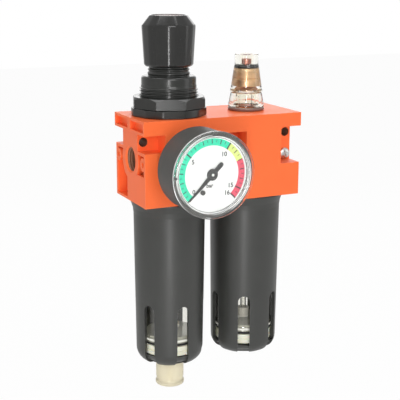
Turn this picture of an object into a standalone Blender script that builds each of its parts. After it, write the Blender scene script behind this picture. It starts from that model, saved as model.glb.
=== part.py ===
# Compact filter regulator lubricator unit. Metres, +Z up, inlet at -X, outlet at +X, gauge towards -Y.
# The origin is the centre of the body's flat rear face, level with the axis of the two ports.
import math

import bmesh
import bpy
from mathutils import Matrix, Vector

MM = 0.001

# Clearances
SEAT_GAP = 0.3 * MM          # between pieces that touch at rest
RUNNING_GAP = 0.3 * MM       # radial, round what turns or slides
PAST = 1.0 * MM              # how far a cutter runs past the face it opens
EDGE = 0.6 * MM              # chamfer on the larger turned pieces
SMALL_EDGE = 0.4 * MM

# Body
BODY_LENGTH = 85.6 * MM
BODY_DEPTH = 38.9 * MM
BODY_HEIGHT = 42.0 * MM
BODY_EDGE = 0.5 * MM
STAGE_SPACING = 43.0 * MM    # between the filter regulator's axis and the lubricator's
BAND_HEIGHT = 6.8 * MM       # the full-length plate along the top
BLOCK_INSET = 0.6 * MM       # the lower ends lie this far inside the band's
NOTCH_LENGTH = 11.3 * MM
WEB_THICKNESS = 19.2 * MM
INLET_NOTCH_HEIGHT = 8.6 * MM
OUTLET_NOTCH_HEIGHT = 18.7 * MM
POCKET_WIDTH = 24.0 * MM
POCKET_HEIGHT = 17.7 * MM
POCKET_DEPTH = 10.0 * MM
POCKET_DROP = 7.8 * MM
PORT_RADIUS = 5.9 * MM
PORT_DEPTH = 10.0 * MM
PORT_BOSS_RADIUS = 10.5 * MM
RIB_WIDTH = 8.8 * MM
RECESS_DEPTH = 6.5 * MM
RECESS_WALL = 1.9 * MM
RECESS_ROOF = 1.5 * MM
RECESS_LIP = 1.2 * MM
COUPLING_BOSS_RADIUS = 3.2 * MM
COUPLING_HOLE_RADIUS = 1.4 * MM
COUPLING_HOLE_DEPTH = 9.0 * MM
WALL_HOLE_RADIUS = 2.25 * MM
WALL_HOLE_INSET = 3.6 * MM
WALL_HOLE_DROP = 11.2 * MM
BAND_POCKET_HEIGHT = 4.3 * MM
BAND_POCKET_DEPTH = 2.6 * MM
BAND_POCKET_WALL = 1.1 * MM
BAND_POCKET_RIB = 3.4 * MM
BOWL_BORE_DEPTH = 10.7 * MM
BOWL_BORE_WALL = 1.85 * MM   # left between the bowl bore and the front and rear faces
DIAPHRAGM_BORE_RADIUS = 14.6 * MM
DIAPHRAGM_BORE_DEPTH = 6.0 * MM
CHAMBER_RADIUS = 10.0 * MM
CHAMBER_DEPTH = 14.0 * MM
VALVE_BORE_RADIUS = 5.2 * MM
PASSAGE_RADIUS = 3.2 * MM
FLOW_BORE_RADIUS = 5.6 * MM
GAUGE_PORT_RADIUS = 5.0 * MM
GAUGE_PORT_DEPTH = 9.0 * MM
SIGNAL_HOLE_RADIUS = 1.0 * MM

# Regulator head
BONNET_FLANGE_RADIUS = 18.6 * MM
BONNET_FLANGE_HEIGHT = 3.6 * MM
BONNET_FLAT_APOTHEM = 17.95 * MM
BONNET_FLAT_TURN = math.radians(-15)
BONNET_THREAD_RADIUS = 14.0 * MM
BONNET_THREAD_TOP = 14.4 * MM    # above the body's top face, as the heights below
BONNET_COLLAR_RADIUS = 13.5 * MM
BONNET_COLLAR_TOP = 19.4 * MM
BONNET_NECK_RADIUS = 10.1 * MM
BONNET_NECK_TOP = 34.0 * MM
BONNET_ROOF = 2.3 * MM
BONNET_BORE_RADIUS = 11.0 * MM
BONNET_FLATS = 6
NUT_RADIUS = 18.6 * MM           # over the corners
NUT_HEIGHT = 5.2 * MM
NUT_SIDES = 8
NUT_TURN = math.radians(3)
KNOB_BASE = 24.0 * MM
KNOB_SHOULDER = 43.7 * MM
KNOB_TOP = 48.5 * MM
KNOB_BASE_RADIUS = 12.2 * MM
KNOB_BASE_CHAMFER = 0.7 * MM
KNOB_SHOULDER_RADIUS = 13.3 * MM
KNOB_TOP_RADIUS = 9.4 * MM
KNOB_SIDES = 8                   # wide facets, with a narrow one after each
KNOB_WIDE_FACET = math.radians(26)
KNOB_TURN = math.radians(-6)
KNOB_CAP_RADIUS = 8.1 * MM
KNOB_CAP_THICKNESS = 1.2 * MM
LOCK_TRAVEL = 3.5 * MM           # the knob is pushed down this far to lock it
SCREW_RADIUS = 3.3 * MM
SCREW_COLLAR_RADIUS = 6.2 * MM
SCREW_COLLAR_HEIGHT = 1.5 * MM
SCREW_HEX_RADIUS = 4.0 * MM
SCREW_HEX_HEIGHT = 6.7 * MM
SCREW_END = 1.0 * MM             # of its thread below the spring nut at the end of its travel
SPRING_NUT_HEIGHT = 3.6 * MM
SPRING_NUT_RADIUS = 8.9 * MM     # over the corners
NUT_TRAVEL = 6.25 * MM           # of the spring nut, over the screw's five turns
MAIN_WIRE = 1.1 * MM
MAIN_COIL_RADIUS = 6.0 * MM
MAIN_TURNS = 5
DIAPHRAGM_THICKNESS = 1.2 * MM
PLATE_RADIUS = 9.2 * MM
PLATE_THICKNESS = 1.8 * MM
PLATE_BOSS_RADIUS = 2.2 * MM
PLATE_STEP = 1.0 * MM            # centres the regulating spring
VALVE_STROKE = 1.2 * MM

# Regulator valve
VALVE_SEAT_BORE = 2.6 * MM
VALVE_SEAT_HEIGHT = 3.2 * MM
POPPET_RADIUS = 3.9 * MM
POPPET_HEIGHT = 2.4 * MM
POPPET_STEM_RADIUS = 1.2 * MM
POPPET_TAIL_RADIUS = 1.5 * MM
POPPET_END_GAP = 0.4 * MM        # left above the filter's stud when the valve is fully open
VALVE_WIRE = 0.35 * MM
VALVE_COIL_RADIUS = 2.6 * MM
VALVE_TURNS = 4
HOLDER_HEIGHT = 2.6 * MM
HOLDER_STUB_RADIUS = 3.3 * MM
HOLDER_STUB_LENGTH = 4.4 * MM
HOLDER_NOTCH_WIDTH = 2.6 * MM
HOLDER_NOTCHES = 4
HOLDER_NOTCH_STEP = 0.2 * MM     # outside the stub

# Filter
BAFFLE_RADIUS = 12.9 * MM
BAFFLE_HEIGHT = 2.4 * MM
BAFFLE_BORE = 4.6 * MM
BAFFLE_VANES = 8
BAFFLE_VANE_GAP = 1.6 * MM
BAFFLE_VANE_LEAN = math.radians(35)
ELEMENT_RADIUS = 9.6 * MM
ELEMENT_BORE = 6.4 * MM
ELEMENT_LENGTH = 36.0 * MM
RETAINER_RADIUS = 12.4 * MM
RETAINER_HEIGHT = 5.0 * MM
RETAINER_CONE = 3.0 * MM
STUD_RADIUS = 2.0 * MM

# Bowls and guards, alike under both stages; depths are below the body's bottom face
BOWL_RADIUS = 15.1 * MM
BOWL_WALL = 1.6 * MM
BOWL_RIM_HEIGHT = 2.0 * MM
BOWL_RIM_RISE = 0.2 * MM
BOWL_FLANGE_HEIGHT = 2.0 * MM
BOWL_SEAL_SECTION = 0.8 * MM
BASE_GROOVE = 1.7 * MM           # between the bowl's end and the base's disc
BASE_SEAL_SECTION = 0.55 * MM
BASE_DISC_HEIGHT = 5.0 * MM
BASE_DISC_INSET = 0.2 * MM       # of its edge inside the bowl's
BASE_SPIGOT_HEIGHT = 3.0 * MM
BASE_BOSS_RADIUS = 9.5 * MM
GUARD_SPIGOT_WALL = 1.7 * MM
GUARD_COLLAR_RADIUS = 19.6 * MM
GUARD_COLLAR_HEIGHT = 5.3 * MM
GUARD_TOP_RADIUS = 18.1 * MM
GUARD_END_RADIUS = 17.3 * MM
GUARD_CORNER = 7.0 * MM
GUARD_DEPTH = 86.0 * MM
GUARD_FLOOR = 3.0 * MM
GUARD_LEDGE_HEIGHT = 5.7 * MM    # of the ledge that holds the bowl's base, above the guard's end
GUARD_LEDGE_WIDTH = 1.6 * MM
GUARD_LEDGE_CONE = 2.6 * MM
GUARD_HOLE_RADIUS = 7.9 * MM
GUARD_SLOTS = 6
SLOT_WIDTH = 6.2 * MM
SLOT_LENGTH = 27.3 * MM
SLOT_GROOVE = 1.4 * MM
FILTER_GUARD_TURN = math.radians(0)
LUBRICATOR_GUARD_TURN = math.radians(-26)

# Drain
DRAIN_RADIUS = 7.2 * MM
DRAIN_FLANGE_RADIUS = 7.45 * MM
DRAIN_GROOVE_RADIUS = 6.6 * MM
DRAIN_REACH = 14.0 * MM          # of the drain knob below the guard
DRAIN_FLANGE_HEIGHT = 1.4 * MM
DRAIN_TRAVEL = 3.0 * MM
DRAIN_GROOVE_RISE = 1.6 * MM     # of the groove's middle above the flange
DRAIN_GROOVE_EDGE = 0.8 * MM
DRAIN_STEM_RADIUS = 2.6 * MM
DRAIN_STEM_GRIP = 6.0 * MM       # length of the stem inside the knob
DRAIN_HEAD_RADIUS = 5.0 * MM
DRAIN_HEAD_HEIGHT = 2.0 * MM
DRAIN_SEAL_SECTION = 0.5 * MM
DRAIN_SEAL_OFFSET = 0.2 * MM     # outward from midway between the stem and the head's rim
DRAIN_BORE_RADIUS = 1.2 * MM
DRAIN_WIRE = 0.4 * MM
DRAIN_TURNS = 4
DRAIN_SPRING_WALL = 1.6 * MM     # step in from the knob's pocket to the spring's
DRAIN_ROOF = 2.2 * MM            # of the base, over the spring

# Lubricator head; heights are above the body's top face
DOME_THREAD_RADIUS = 7.0 * MM
DOME_THREAD_DEPTH = 8.1 * MM
DOME_LOWER_RADIUS = 9.1 * MM
DOME_WAIST_HEIGHT = 8.6 * MM
DOME_WAIST_RADIUS = 8.0 * MM
DOME_WAIST_LEDGE = 0.3 * MM
DOME_NECK_HEIGHT = 20.9 * MM
DOME_NECK_RADIUS = 6.5 * MM
DOME_HEIGHT = 28.6 * MM
DOME_CAP_RADIUS = 6.0 * MM
DOME_THREAD_BORE_STEP = 1.0 * MM # narrower inside the thread than in the sight chamber
DOME_SIGHT_BORE = 6.3 * MM
DOME_SIGHT_TOP = 10.8 * MM
DOME_BUSH_BORE = 5.5 * MM
DOME_BUSH_TOP = 23.2 * MM
DOME_RECESS_RADIUS = 3.4 * MM
DOME_SEAL_RADIUS = 9.3 * MM
DOME_SEAL_HEIGHT = 1.2 * MM
BUSH_HEIGHT = 9.2 * MM
BUSH_BORE = 1.9 * MM
NEEDLE_RADIUS = 1.55 * MM
NEEDLE_HEAD_RADIUS = 2.5 * MM
NEEDLE_HEAD_HEIGHT = 2.6 * MM
NEEDLE_TIP_RADIUS = 0.3 * MM
NEEDLE_TIP_LENGTH = 2.0 * MM
NEEDLE_SLOT_WIDTH = 0.8 * MM
NEEDLE_SLOT_DEPTH = 1.2 * MM
NEEDLE_SEAL_SECTION = 0.7 * MM
INSERT_RADIUS = 4.6 * MM
INSERT_FLANGE_RADIUS = 6.9 * MM
INSERT_FLANGE_HEIGHT = 1.6 * MM
INSERT_TAIL = 3.0 * MM
INSERT_SOCKET_DEPTH = 12.0 * MM
INSERT_BORE = 1.0 * MM
INSERT_SEAT = 0.6 * MM           # height of the cone that the ball seals on
BALL_RADIUS = 1.4 * MM
SIPHON_RADIUS = 1.6 * MM
SIPHON_BORE = 0.9 * MM
STRAINER_RADIUS = 3.0 * MM
STRAINER_HEIGHT = 5.0 * MM
STRAINER_FOOT_GAP = 1.0 * MM
STRAINER_GRIP = 3.0 * MM         # length of the tube inside it
VANE_THICKNESS = 1.0 * MM
VANE_OFFSET = 8.0 * MM           # from the lubricator's axis, upstream

# Gauge; depths are measured forward from the case's back
GAUGE_STANDOFF = 12.4 * MM
GAUGE_CASE_RADIUS = 19.8 * MM
GAUGE_CASE_WALL = 1.1 * MM
GAUGE_CASE_DEPTH = 18.9 * MM
GAUGE_CASE_EDGE = 0.8 * MM
LENS_RADIUS = 20.4 * MM          # of the clear cover that snaps into the case's mouth
LENS_RIM_HEIGHT = 1.7 * MM
LENS_RIM_WIDTH = 2.0 * MM
LENS_STEP = 0.6 * MM             # of the rim in front of the window
LENS_THICKNESS = 1.4 * MM
LENS_SKIRT_WALL = 1.0 * MM
DIAL_DEPTH = 16.5 * MM
DIAL_THICKNESS = 0.5 * MM
DIAL_INSET = 0.4 * MM            # of its edge inside the case's bore
POINTER_LENGTH = 16.3 * MM
POINTER_TAIL = 6.9 * MM
POINTER_TIP_WIDTH = 0.5 * MM
POINTER_WAIST_WIDTH = 1.6 * MM   # at the hub
POINTER_TAIL_WIDTH = 2.0 * MM
POINTER_HUB_RADIUS = 2.7 * MM
POINTER_HUB_RISE = 0.3 * MM
POINTER_THICKNESS = 0.5 * MM
SHAFT_GRIP = 0.2 * MM            # between the shaft and the pointer's blind bore
POINTER_START = math.radians(225)    # from +X towards the top: the zero of the scale
SHAFT_RADIUS = 0.9 * MM
PINION_RADIUS = 1.5 * MM
POINTER_SWEEP = math.radians(270)
STOP_PIN_RADIUS = 1.1 * MM
STOP_PIN_PLACE = 9.3 * MM
STOP_PIN_RISE = 0.4 * MM         # in front of the pointer
TUBE_COIL_RADIUS = 13.6 * MM
TUBE_RADIUS = 1.4 * MM
TUBE_DEPTH = 5.6 * MM
TUBE_SWEEP = math.radians(235)
MOVEMENT_THICKNESS = 1.0 * MM
MOVEMENT_RIM = 2.4 * MM          # of the movement plate outside the sector's pivot
MOVEMENT_POST_RADIUS = 1.2 * MM
MOVEMENT_POST_INSET = 1.6 * MM   # inside the edge of the socket's block
SECTOR_DEPTH = 12.9 * MM
SECTOR_THICKNESS = 0.8 * MM
SECTOR_PIVOT = 9.0 * MM
SECTOR_PIVOT_ANGLE = math.radians(-60)
SECTOR_PIN_RADIUS = 0.8 * MM
SECTOR_TAIL = 2.0 * MM
SECTOR_TAIL_WIDTH = 2.4 * MM
SECTOR_HALF_WIDTH = math.radians(32)
SOCKET_THREAD_RADIUS = 4.7 * MM
SOCKET_HEX_RADIUS = 7.6 * MM
SOCKET_BLOCK_RADIUS = 5.0 * MM
SOCKET_BORE = 1.5 * MM
SOCKET_ARM_WIDTH = 4.4 * MM      # of the arm that carries the tube's end
GASKET_THICKNESS = 1.2 * MM
GASKET_RADIUS = 7.4 * MM

# Small fittings
PLUG_DEPTH = 7.5 * MM
PLUG_RECESS = 0.5 * MM
PLUG_HEX_RADIUS = 2.9 * MM
SIDE_SCREW_RADIUS = 1.2 * MM
SIDE_SCREW_HEAD_RADIUS = 3.0 * MM
SIDE_SCREW_HEAD_HEIGHT = 1.6 * MM
SIDE_SCREW_HEAD_FLAT = 1.35 * MM # radius of the flat on its domed head
SIDE_SCREW_LENGTH = 2.4 * MM
SIDE_SCREW_INSET = 4.0 * MM
SIDE_SCREW_DROP = 22.4 * MM

# Places worked out from the sizes above
TOP = BODY_HEIGHT / 2             # the ports and the gauge are at mid-height
BOTTOM = -BODY_HEIGHT / 2
AXIS_Y = -BODY_DEPTH / 2
FRONT = -BODY_DEPTH
REGULATOR = Vector((-STAGE_SPACING / 2, AXIS_Y, 0))
LUBRICATOR = Vector((STAGE_SPACING / 2, AXIS_Y, 0))
BAND_BOTTOM = TOP - BAND_HEIGHT
BOWL_BORE_RADIUS = BODY_DEPTH / 2 - BOWL_BORE_WALL
BOWL_BORE_TOP = BOTTOM + BOWL_BORE_DEPTH
CHAMBER_FLOOR = TOP - CHAMBER_DEPTH
DIAPHRAGM_SEAT = TOP - DIAPHRAGM_BORE_DEPTH
PASSAGE_LEVEL = CHAMBER_FLOOR + PASSAGE_RADIUS + MM
DIAPHRAGM_BOTTOM = DIAPHRAGM_SEAT + SEAT_GAP
DIAPHRAGM_TOP = DIAPHRAGM_BOTTOM + DIAPHRAGM_THICKNESS
PLATE_BOTTOM = DIAPHRAGM_TOP + SEAT_GAP
PLATE_TOP = PLATE_BOTTOM + PLATE_THICKNESS
BONNET_BASE = TOP + SEAT_GAP
NUT_BASE = BONNET_BASE + BONNET_FLANGE_HEIGHT + SEAT_GAP
NECK_BORE_RADIUS = SPRING_NUT_RADIUS + RUNNING_GAP / math.cos(math.pi / 6)
ROOF_BOTTOM = TOP + BONNET_NECK_TOP - BONNET_ROOF
COLLAR_BOTTOM = ROOF_BOTTOM - SEAT_GAP - SCREW_COLLAR_HEIGHT
SPRING_NUT_BOTTOM = COLLAR_BOTTOM - SEAT_GAP - SPRING_NUT_HEIGHT
HEX_BASE = TOP + BONNET_NECK_TOP + SEAT_GAP
GUARD_END = BOTTOM - GUARD_DEPTH
GUARD_FLOOR_TOP = GUARD_END + GUARD_FLOOR
GUARD_LEDGE = GUARD_END + GUARD_LEDGE_HEIGHT
BASE_DISC_BOTTOM = GUARD_LEDGE + SEAT_GAP
BASE_DISC_TOP = BASE_DISC_BOTTOM + BASE_DISC_HEIGHT
BOWL_END = BASE_DISC_TOP + BASE_GROOVE
BOWL_BORE = BOWL_RADIUS - BOWL_WALL
BASE_SPIGOT_TOP = BOWL_END + BASE_SPIGOT_HEIGHT
BASE_BOSS_BOTTOM = GUARD_FLOOR_TOP + SEAT_GAP
SPIGOT_RADIUS = BOWL_BORE_RADIUS - RUNNING_GAP
GUARD_BORE = SPIGOT_RADIUS - GUARD_SPIGOT_WALL
BOWL_SEAL_LEVEL = BOWL_BORE_TOP - SEAT_GAP - BOWL_SEAL_SECTION
BOWL_TOP = BOWL_SEAL_LEVEL - BOWL_SEAL_SECTION - SEAT_GAP
SPIGOT_TOP = BOWL_TOP - BOWL_FLANGE_HEIGHT - SEAT_GAP
SEAT_TOP = CHAMBER_FLOOR - SEAT_GAP
SEAT_BOTTOM = SEAT_TOP - VALVE_SEAT_HEIGHT
POPPET_TOP = SEAT_BOTTOM - SEAT_GAP
POPPET_BOTTOM = POPPET_TOP - POPPET_HEIGHT
HOLDER_BOTTOM = BOWL_BORE_TOP - SEAT_GAP
HOLDER_TOP = HOLDER_BOTTOM + HOLDER_HEIGHT
HOLDER_STUB_BOTTOM = HOLDER_BOTTOM - HOLDER_STUB_LENGTH
BAFFLE_TOP = HOLDER_BOTTOM - SEAT_GAP
ELEMENT_TOP = BAFFLE_TOP - BAFFLE_HEIGHT - SEAT_GAP
ELEMENT_BOTTOM = ELEMENT_TOP - ELEMENT_LENGTH
RETAINER_TOP = ELEMENT_BOTTOM - SEAT_GAP
DRAIN_POCKET_RADIUS = DRAIN_RADIUS + RUNNING_GAP
DRAIN_KNOB_TOP = BASE_BOSS_BOTTOM + MM
DRAIN_POCKET_TOP = DRAIN_KNOB_TOP + DRAIN_TRAVEL + SEAT_GAP
DRAIN_SPRING_POCKET = DRAIN_POCKET_RADIUS - DRAIN_SPRING_WALL
DRAIN_SPRING_TOP = BASE_SPIGOT_TOP - DRAIN_ROOF
DRAIN_SEAL_LEVEL = BASE_SPIGOT_TOP + SEAT_GAP + DRAIN_SEAL_SECTION
DRAIN_HEAD_BOTTOM = DRAIN_SEAL_LEVEL + DRAIN_SEAL_SECTION + SEAT_GAP
DOME_THREAD_BORE = DOME_THREAD_RADIUS + RUNNING_GAP
DOME_THREAD_END = TOP - DOME_THREAD_DEPTH
INSERT_TOP = DOME_THREAD_END - SEAT_GAP
INSERT_FLANGE_BOTTOM = INSERT_TOP - INSERT_FLANGE_HEIGHT
INSERT_STEP = INSERT_FLANGE_BOTTOM - SEAT_GAP
INSERT_BOTTOM = BOWL_BORE_TOP - INSERT_TAIL
INSERT_SOCKET = SIPHON_RADIUS + RUNNING_GAP
BALL_LEVEL = INSERT_BOTTOM + INSERT_SOCKET_DEPTH - SEAT_GAP - BALL_RADIUS
SIPHON_TOP = BALL_LEVEL - BALL_RADIUS - SEAT_GAP
STRAINER_BOTTOM = BASE_SPIGOT_TOP + STRAINER_FOOT_GAP
STRAINER_TOP = STRAINER_BOTTOM + STRAINER_HEIGHT
DOME_SEAL_TOP = TOP + SEAT_GAP + DOME_SEAL_HEIGHT
DOME_BASE = DOME_SEAL_TOP + SEAT_GAP
BUSH_TOP = TOP + DOME_BUSH_TOP - 2 * (SEAT_GAP + NEEDLE_SEAL_SECTION)
BUSH_BOTTOM = BUSH_TOP - BUSH_HEIGHT
NEEDLE_SEAL_LEVEL = BUSH_TOP + SEAT_GAP + NEEDLE_SEAL_SECTION
CASE_BACK = FRONT - GAUGE_STANDOFF
CASE_BORE = GAUGE_CASE_RADIUS - GAUGE_CASE_WALL
POINTER_DEPTH = DIAL_DEPTH + DIAL_THICKNESS + SEAT_GAP
MOVEMENT_DEPTH = DIAL_DEPTH - SEAT_GAP - MOVEMENT_THICKNESS
SECTOR_RADIUS = SECTOR_PIVOT - PINION_RADIUS - SEAT_GAP


def make_collection(name):
    collection = bpy.data.collections.new(name)
    bpy.context.scene.collection.children.link(collection)
    return collection


for old in list(bpy.data.objects):
    bpy.data.objects.remove(old, do_unlink=True)
PARTS = make_collection("filter_regulator_lubricator")
CUTTERS = make_collection("cutters")


def make_material(name, color, roughness, metallic=0.0, alpha=1.0):
    material = bpy.data.materials.new(name)
    material.use_nodes = True
    shader = material.node_tree.nodes["Principled BSDF"]
    shader.inputs["Base Color"].default_value = (*color, 1.0)
    shader.inputs["Roughness"].default_value = roughness
    shader.inputs["Metallic"].default_value = metallic
    shader.inputs["Alpha"].default_value = alpha
    return material


ORANGE = make_material("orange_enamel", (0.86, 0.15, 0.05), 0.35)
BLACK = make_material("black_nylon", (0.035, 0.037, 0.035), 0.45)
GUARD_GREY = make_material("guard_nylon", (0.055, 0.057, 0.055), 0.5)
RUBBER = make_material("nitrile_rubber", (0.02, 0.02, 0.02), 0.7)
BRASS = make_material("brass", (0.70, 0.50, 0.22), 0.3, 1.0)
STEEL = make_material("zinc_steel", (0.62, 0.62, 0.60), 0.3, 1.0)
SPRING_STEEL = make_material("spring_steel", (0.45, 0.45, 0.46), 0.35, 1.0)
CLEAR = make_material("clear_plastic", (0.90, 0.92, 0.88), 0.08, alpha=0.35)
CREAM = make_material("cream_plastic", (0.80, 0.75, 0.58), 0.4)
WHITE = make_material("white_plastic", (0.85, 0.85, 0.82), 0.45)
SINTERED = make_material("sintered_filter", (0.78, 0.76, 0.70), 0.9)
DIAL_WHITE = make_material("dial_white", (0.90, 0.90, 0.88), 0.5)
CAP_BROWN = make_material("cap_brown", (0.30, 0.22, 0.20), 0.5)


def add_object(name, mesh, finish):
    part = bpy.data.objects.new(name, mesh)
    if finish is None:
        CUTTERS.objects.link(part)
        part.hide_render = True
        part.display_type = "WIRE"
    else:
        PARTS.objects.link(part)
        mesh.materials.append(finish)
    return part


def mesh_from(name, build):
    mesh = bpy.data.meshes.new(name)
    shape = bmesh.new()
    build(shape)
    bmesh.ops.recalc_face_normals(shape, faces=shape.faces)
    shape.to_mesh(mesh)
    shape.free()
    return mesh


def facing(direction):
    """The turn that lays a shape's own +Z along a direction, keeping +X or +Z to the side or up."""
    turns = {
        "up": Matrix.Identity(4),
        "front": Matrix.Rotation(math.pi / 2, 4, "X"),
        "rear": Matrix.Rotation(-math.pi / 2, 4, "X"),
        "left": Matrix.Rotation(-math.pi / 2, 4, "Y"),
        "right": Matrix.Rotation(math.pi / 2, 4, "Y"),
    }
    return turns[direction]


def place(part, at, direction="up", turn=0.0):
    part.matrix_world = Matrix.Translation(at) @ facing(direction) @ Matrix.Rotation(turn, 4, "Z")
    return part


def block(name, low, high, finish=None, edge=0.0):
    low, high = Vector(low), Vector(high)

    def build(shape):
        bmesh.ops.create_cube(shape, size=1.0)
        size = high - low
        for vertex in shape.verts:
            vertex.co = (low + high) / 2 + Vector(a * b for a, b in zip(vertex.co, size))

    part = add_object(name, mesh_from(name, build), finish)
    if edge:
        bevel = part.modifiers.new("edges", "BEVEL")
        bevel.width = edge
        bevel.segments = 2
        bevel.limit_method = "ANGLE"
    return part


def turned(name, profile, at, finish=None, steps=24, direction="up", turn=0.0, ring=True):
    """A profile of (radius, height) turned about an axis: down the outer side first, then up the bore."""
    mesh = bpy.data.meshes.new(name)
    points = [(radius, 0.0, height) for radius, height in profile]
    edges = [(i, i + 1) for i in range(len(points) - 1)]
    if ring:
        edges.append((len(points) - 1, 0))
    mesh.from_pydata(points, edges, [])
    part = add_object(name, mesh, finish)
    screw = part.modifiers.new("turn", "SCREW")
    screw.steps = screw.render_steps = steps
    screw.use_merge_vertices = True
    screw.merge_threshold = 0.00001
    screw.use_smooth_shade = False
    return place(part, at, direction, turn)


def solid_turned(name, profile, at, finish=None, steps=24, direction="up", turn=0.0):
    """A turned shape with no bore: its profile is closed onto the axis at both ends."""
    closed = [(0.0, profile[0][1]), *profile, (0.0, profile[-1][1])]
    return turned(name, closed, at, finish, steps, direction, turn, ring=False)


def rod(name, at, radius, low, high, finish=None, steps=20, direction="up", turn=0.0):
    return solid_turned(name, [(radius, high), (radius, low)], at, finish, steps, direction, turn)


def tube_shape(name, at, radius, bore, low, high, finish=None, steps=24, direction="up", turn=0.0):
    profile = [(radius, high), (radius, low), (bore, low), (bore, high)]
    return turned(name, profile, at, finish, steps, direction, turn)


def drill(name, start, end, radius, steps=12):
    """A straight cutter between two points."""
    start, end = Vector(start), Vector(end)
    along = end - start
    cutter = rod(name, (0, 0, 0), radius, 0.0, along.length, steps=steps)
    aim = Vector((0, 0, 1)).rotation_difference(along).to_matrix().to_4x4()
    cutter.matrix_world = Matrix.Translation(start) @ aim
    return cutter


def plate(name, outline, low, high, at, finish=None, direction="up", turn=0.0):
    """A flat outline of (x, y) points, thickened from low to high."""
    curve = bpy.data.curves.new(name, "CURVE")
    curve.dimensions = "2D"
    curve.fill_mode = "BOTH"
    curve.extrude = (high - low) / 2
    spline = curve.splines.new("POLY")
    spline.points.add(len(outline) - 1)
    for point, (x, y) in zip(spline.points, outline):
        point.co = (x, y, 0.0, 1.0)
    spline.use_cyclic_u = True
    sketch = bpy.data.objects.new(name, curve)
    CUTTERS.objects.link(sketch)
    filled = bpy.data.meshes.new_from_object(sketch.evaluated_get(bpy.context.evaluated_depsgraph_get()))
    bpy.data.objects.remove(sketch, do_unlink=True)

    def build(shape):
        shape.from_mesh(filled)
        bmesh.ops.remove_doubles(shape, verts=shape.verts, dist=0.001 * MM)
        bmesh.ops.translate(shape, verts=shape.verts, vec=(0, 0, (low + high) / 2))

    return place(add_object(name, mesh_from(name, build), finish), at, direction, turn)


def lofted(name, rings, angles, at, finish=None):
    """Closed rings of (radius, height) from the top down, each with a corner at every angle."""

    def build(shape):
        rows = [[shape.verts.new((r * math.cos(a), r * math.sin(a), z)) for a in angles] for r, z in rings]
        for upper, lower in zip(rows, rows[1:]):
            for i in range(len(angles)):
                j = (i + 1) % len(angles)
                shape.faces.new((upper[i], lower[i], lower[j], upper[j]))
        shape.faces.new(rows[0])
        shape.faces.new(rows[-1])

    return place(add_object(name, mesh_from(name, build), finish), at)


def o_ring(name, at, radius, section, level, finish, sides=5, steps=16):
    points = [
        (radius + section * math.cos(angle), level + section * math.sin(angle))
        for angle in (math.tau * (0.5 - i) / sides for i in range(sides))
    ]
    return turned(name, points, at, finish, steps)


def coil(name, at, radius, wire, low, high, turns, finish, turn_points=8):
    """A compression spring between two levels, as a wire with round ends cut square."""
    count = turns * turn_points + 1
    curve = bpy.data.curves.new(name, "CURVE")
    curve.dimensions = "3D"
    curve.bevel_depth = wire
    curve.bevel_resolution = 0
    curve.use_fill_caps = True
    spline = curve.splines.new("POLY")
    spline.points.add(count - 1)
    for i, point in enumerate(spline.points):
        angle = math.tau * i / turn_points
        height = low + wire + (high - low - 2 * wire) * i / (count - 1)
        point.co = (radius * math.cos(angle), radius * math.sin(angle), height, 1.0)
    spring = bpy.data.objects.new(name, curve)
    curve.materials.append(finish)
    PARTS.objects.link(spring)
    spring.location = at
    return spring


def combine(part, operation, others):
    for other in others:
        step = part.modifiers.new(f"{operation.lower()} {other.name}", "BOOLEAN")
        step.operation = operation
        step.object = other
        step.solver = "EXACT"
    return part


def cut(part, *cutters):
    return combine(part, "DIFFERENCE", cutters)


def cut_together(part, cutters):
    """Cuts with many shapes in one step, from a collection of their own."""
    group = bpy.data.collections.new(f"{part.name}_cutters")
    CUTTERS.children.link(group)
    for cutter in cutters:
        CUTTERS.objects.unlink(cutter)
        group.objects.link(cutter)
    step = part.modifiers.new("all cuts", "BOOLEAN")
    step.operation = "DIFFERENCE"
    step.operand_type = "COLLECTION"
    step.collection = group
    step.solver = "EXACT"
    return part


def join(part, *others):
    return combine(part, "UNION", others)


def finish_part(part):
    """Applies what a piece is made of, and shades its round faces smooth."""
    mesh = bpy.data.meshes.new_from_object(part.evaluated_get(bpy.context.evaluated_depsgraph_get()))
    part.modifiers.clear()
    part.data = mesh
    mesh.name = part.name
    mesh.shade_smooth()
    mesh.set_sharp_from_angle(angle=math.radians(30))


def arc(center, radius, start, end, count):
    """Points on an arc, both ends included; angles in degrees."""
    return [
        (center[0] + radius * math.cos(angle), center[1] + radius * math.sin(angle))
        for angle in (math.radians(start + (end - start) * i / count) for i in range(count + 1))
    ]


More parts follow.
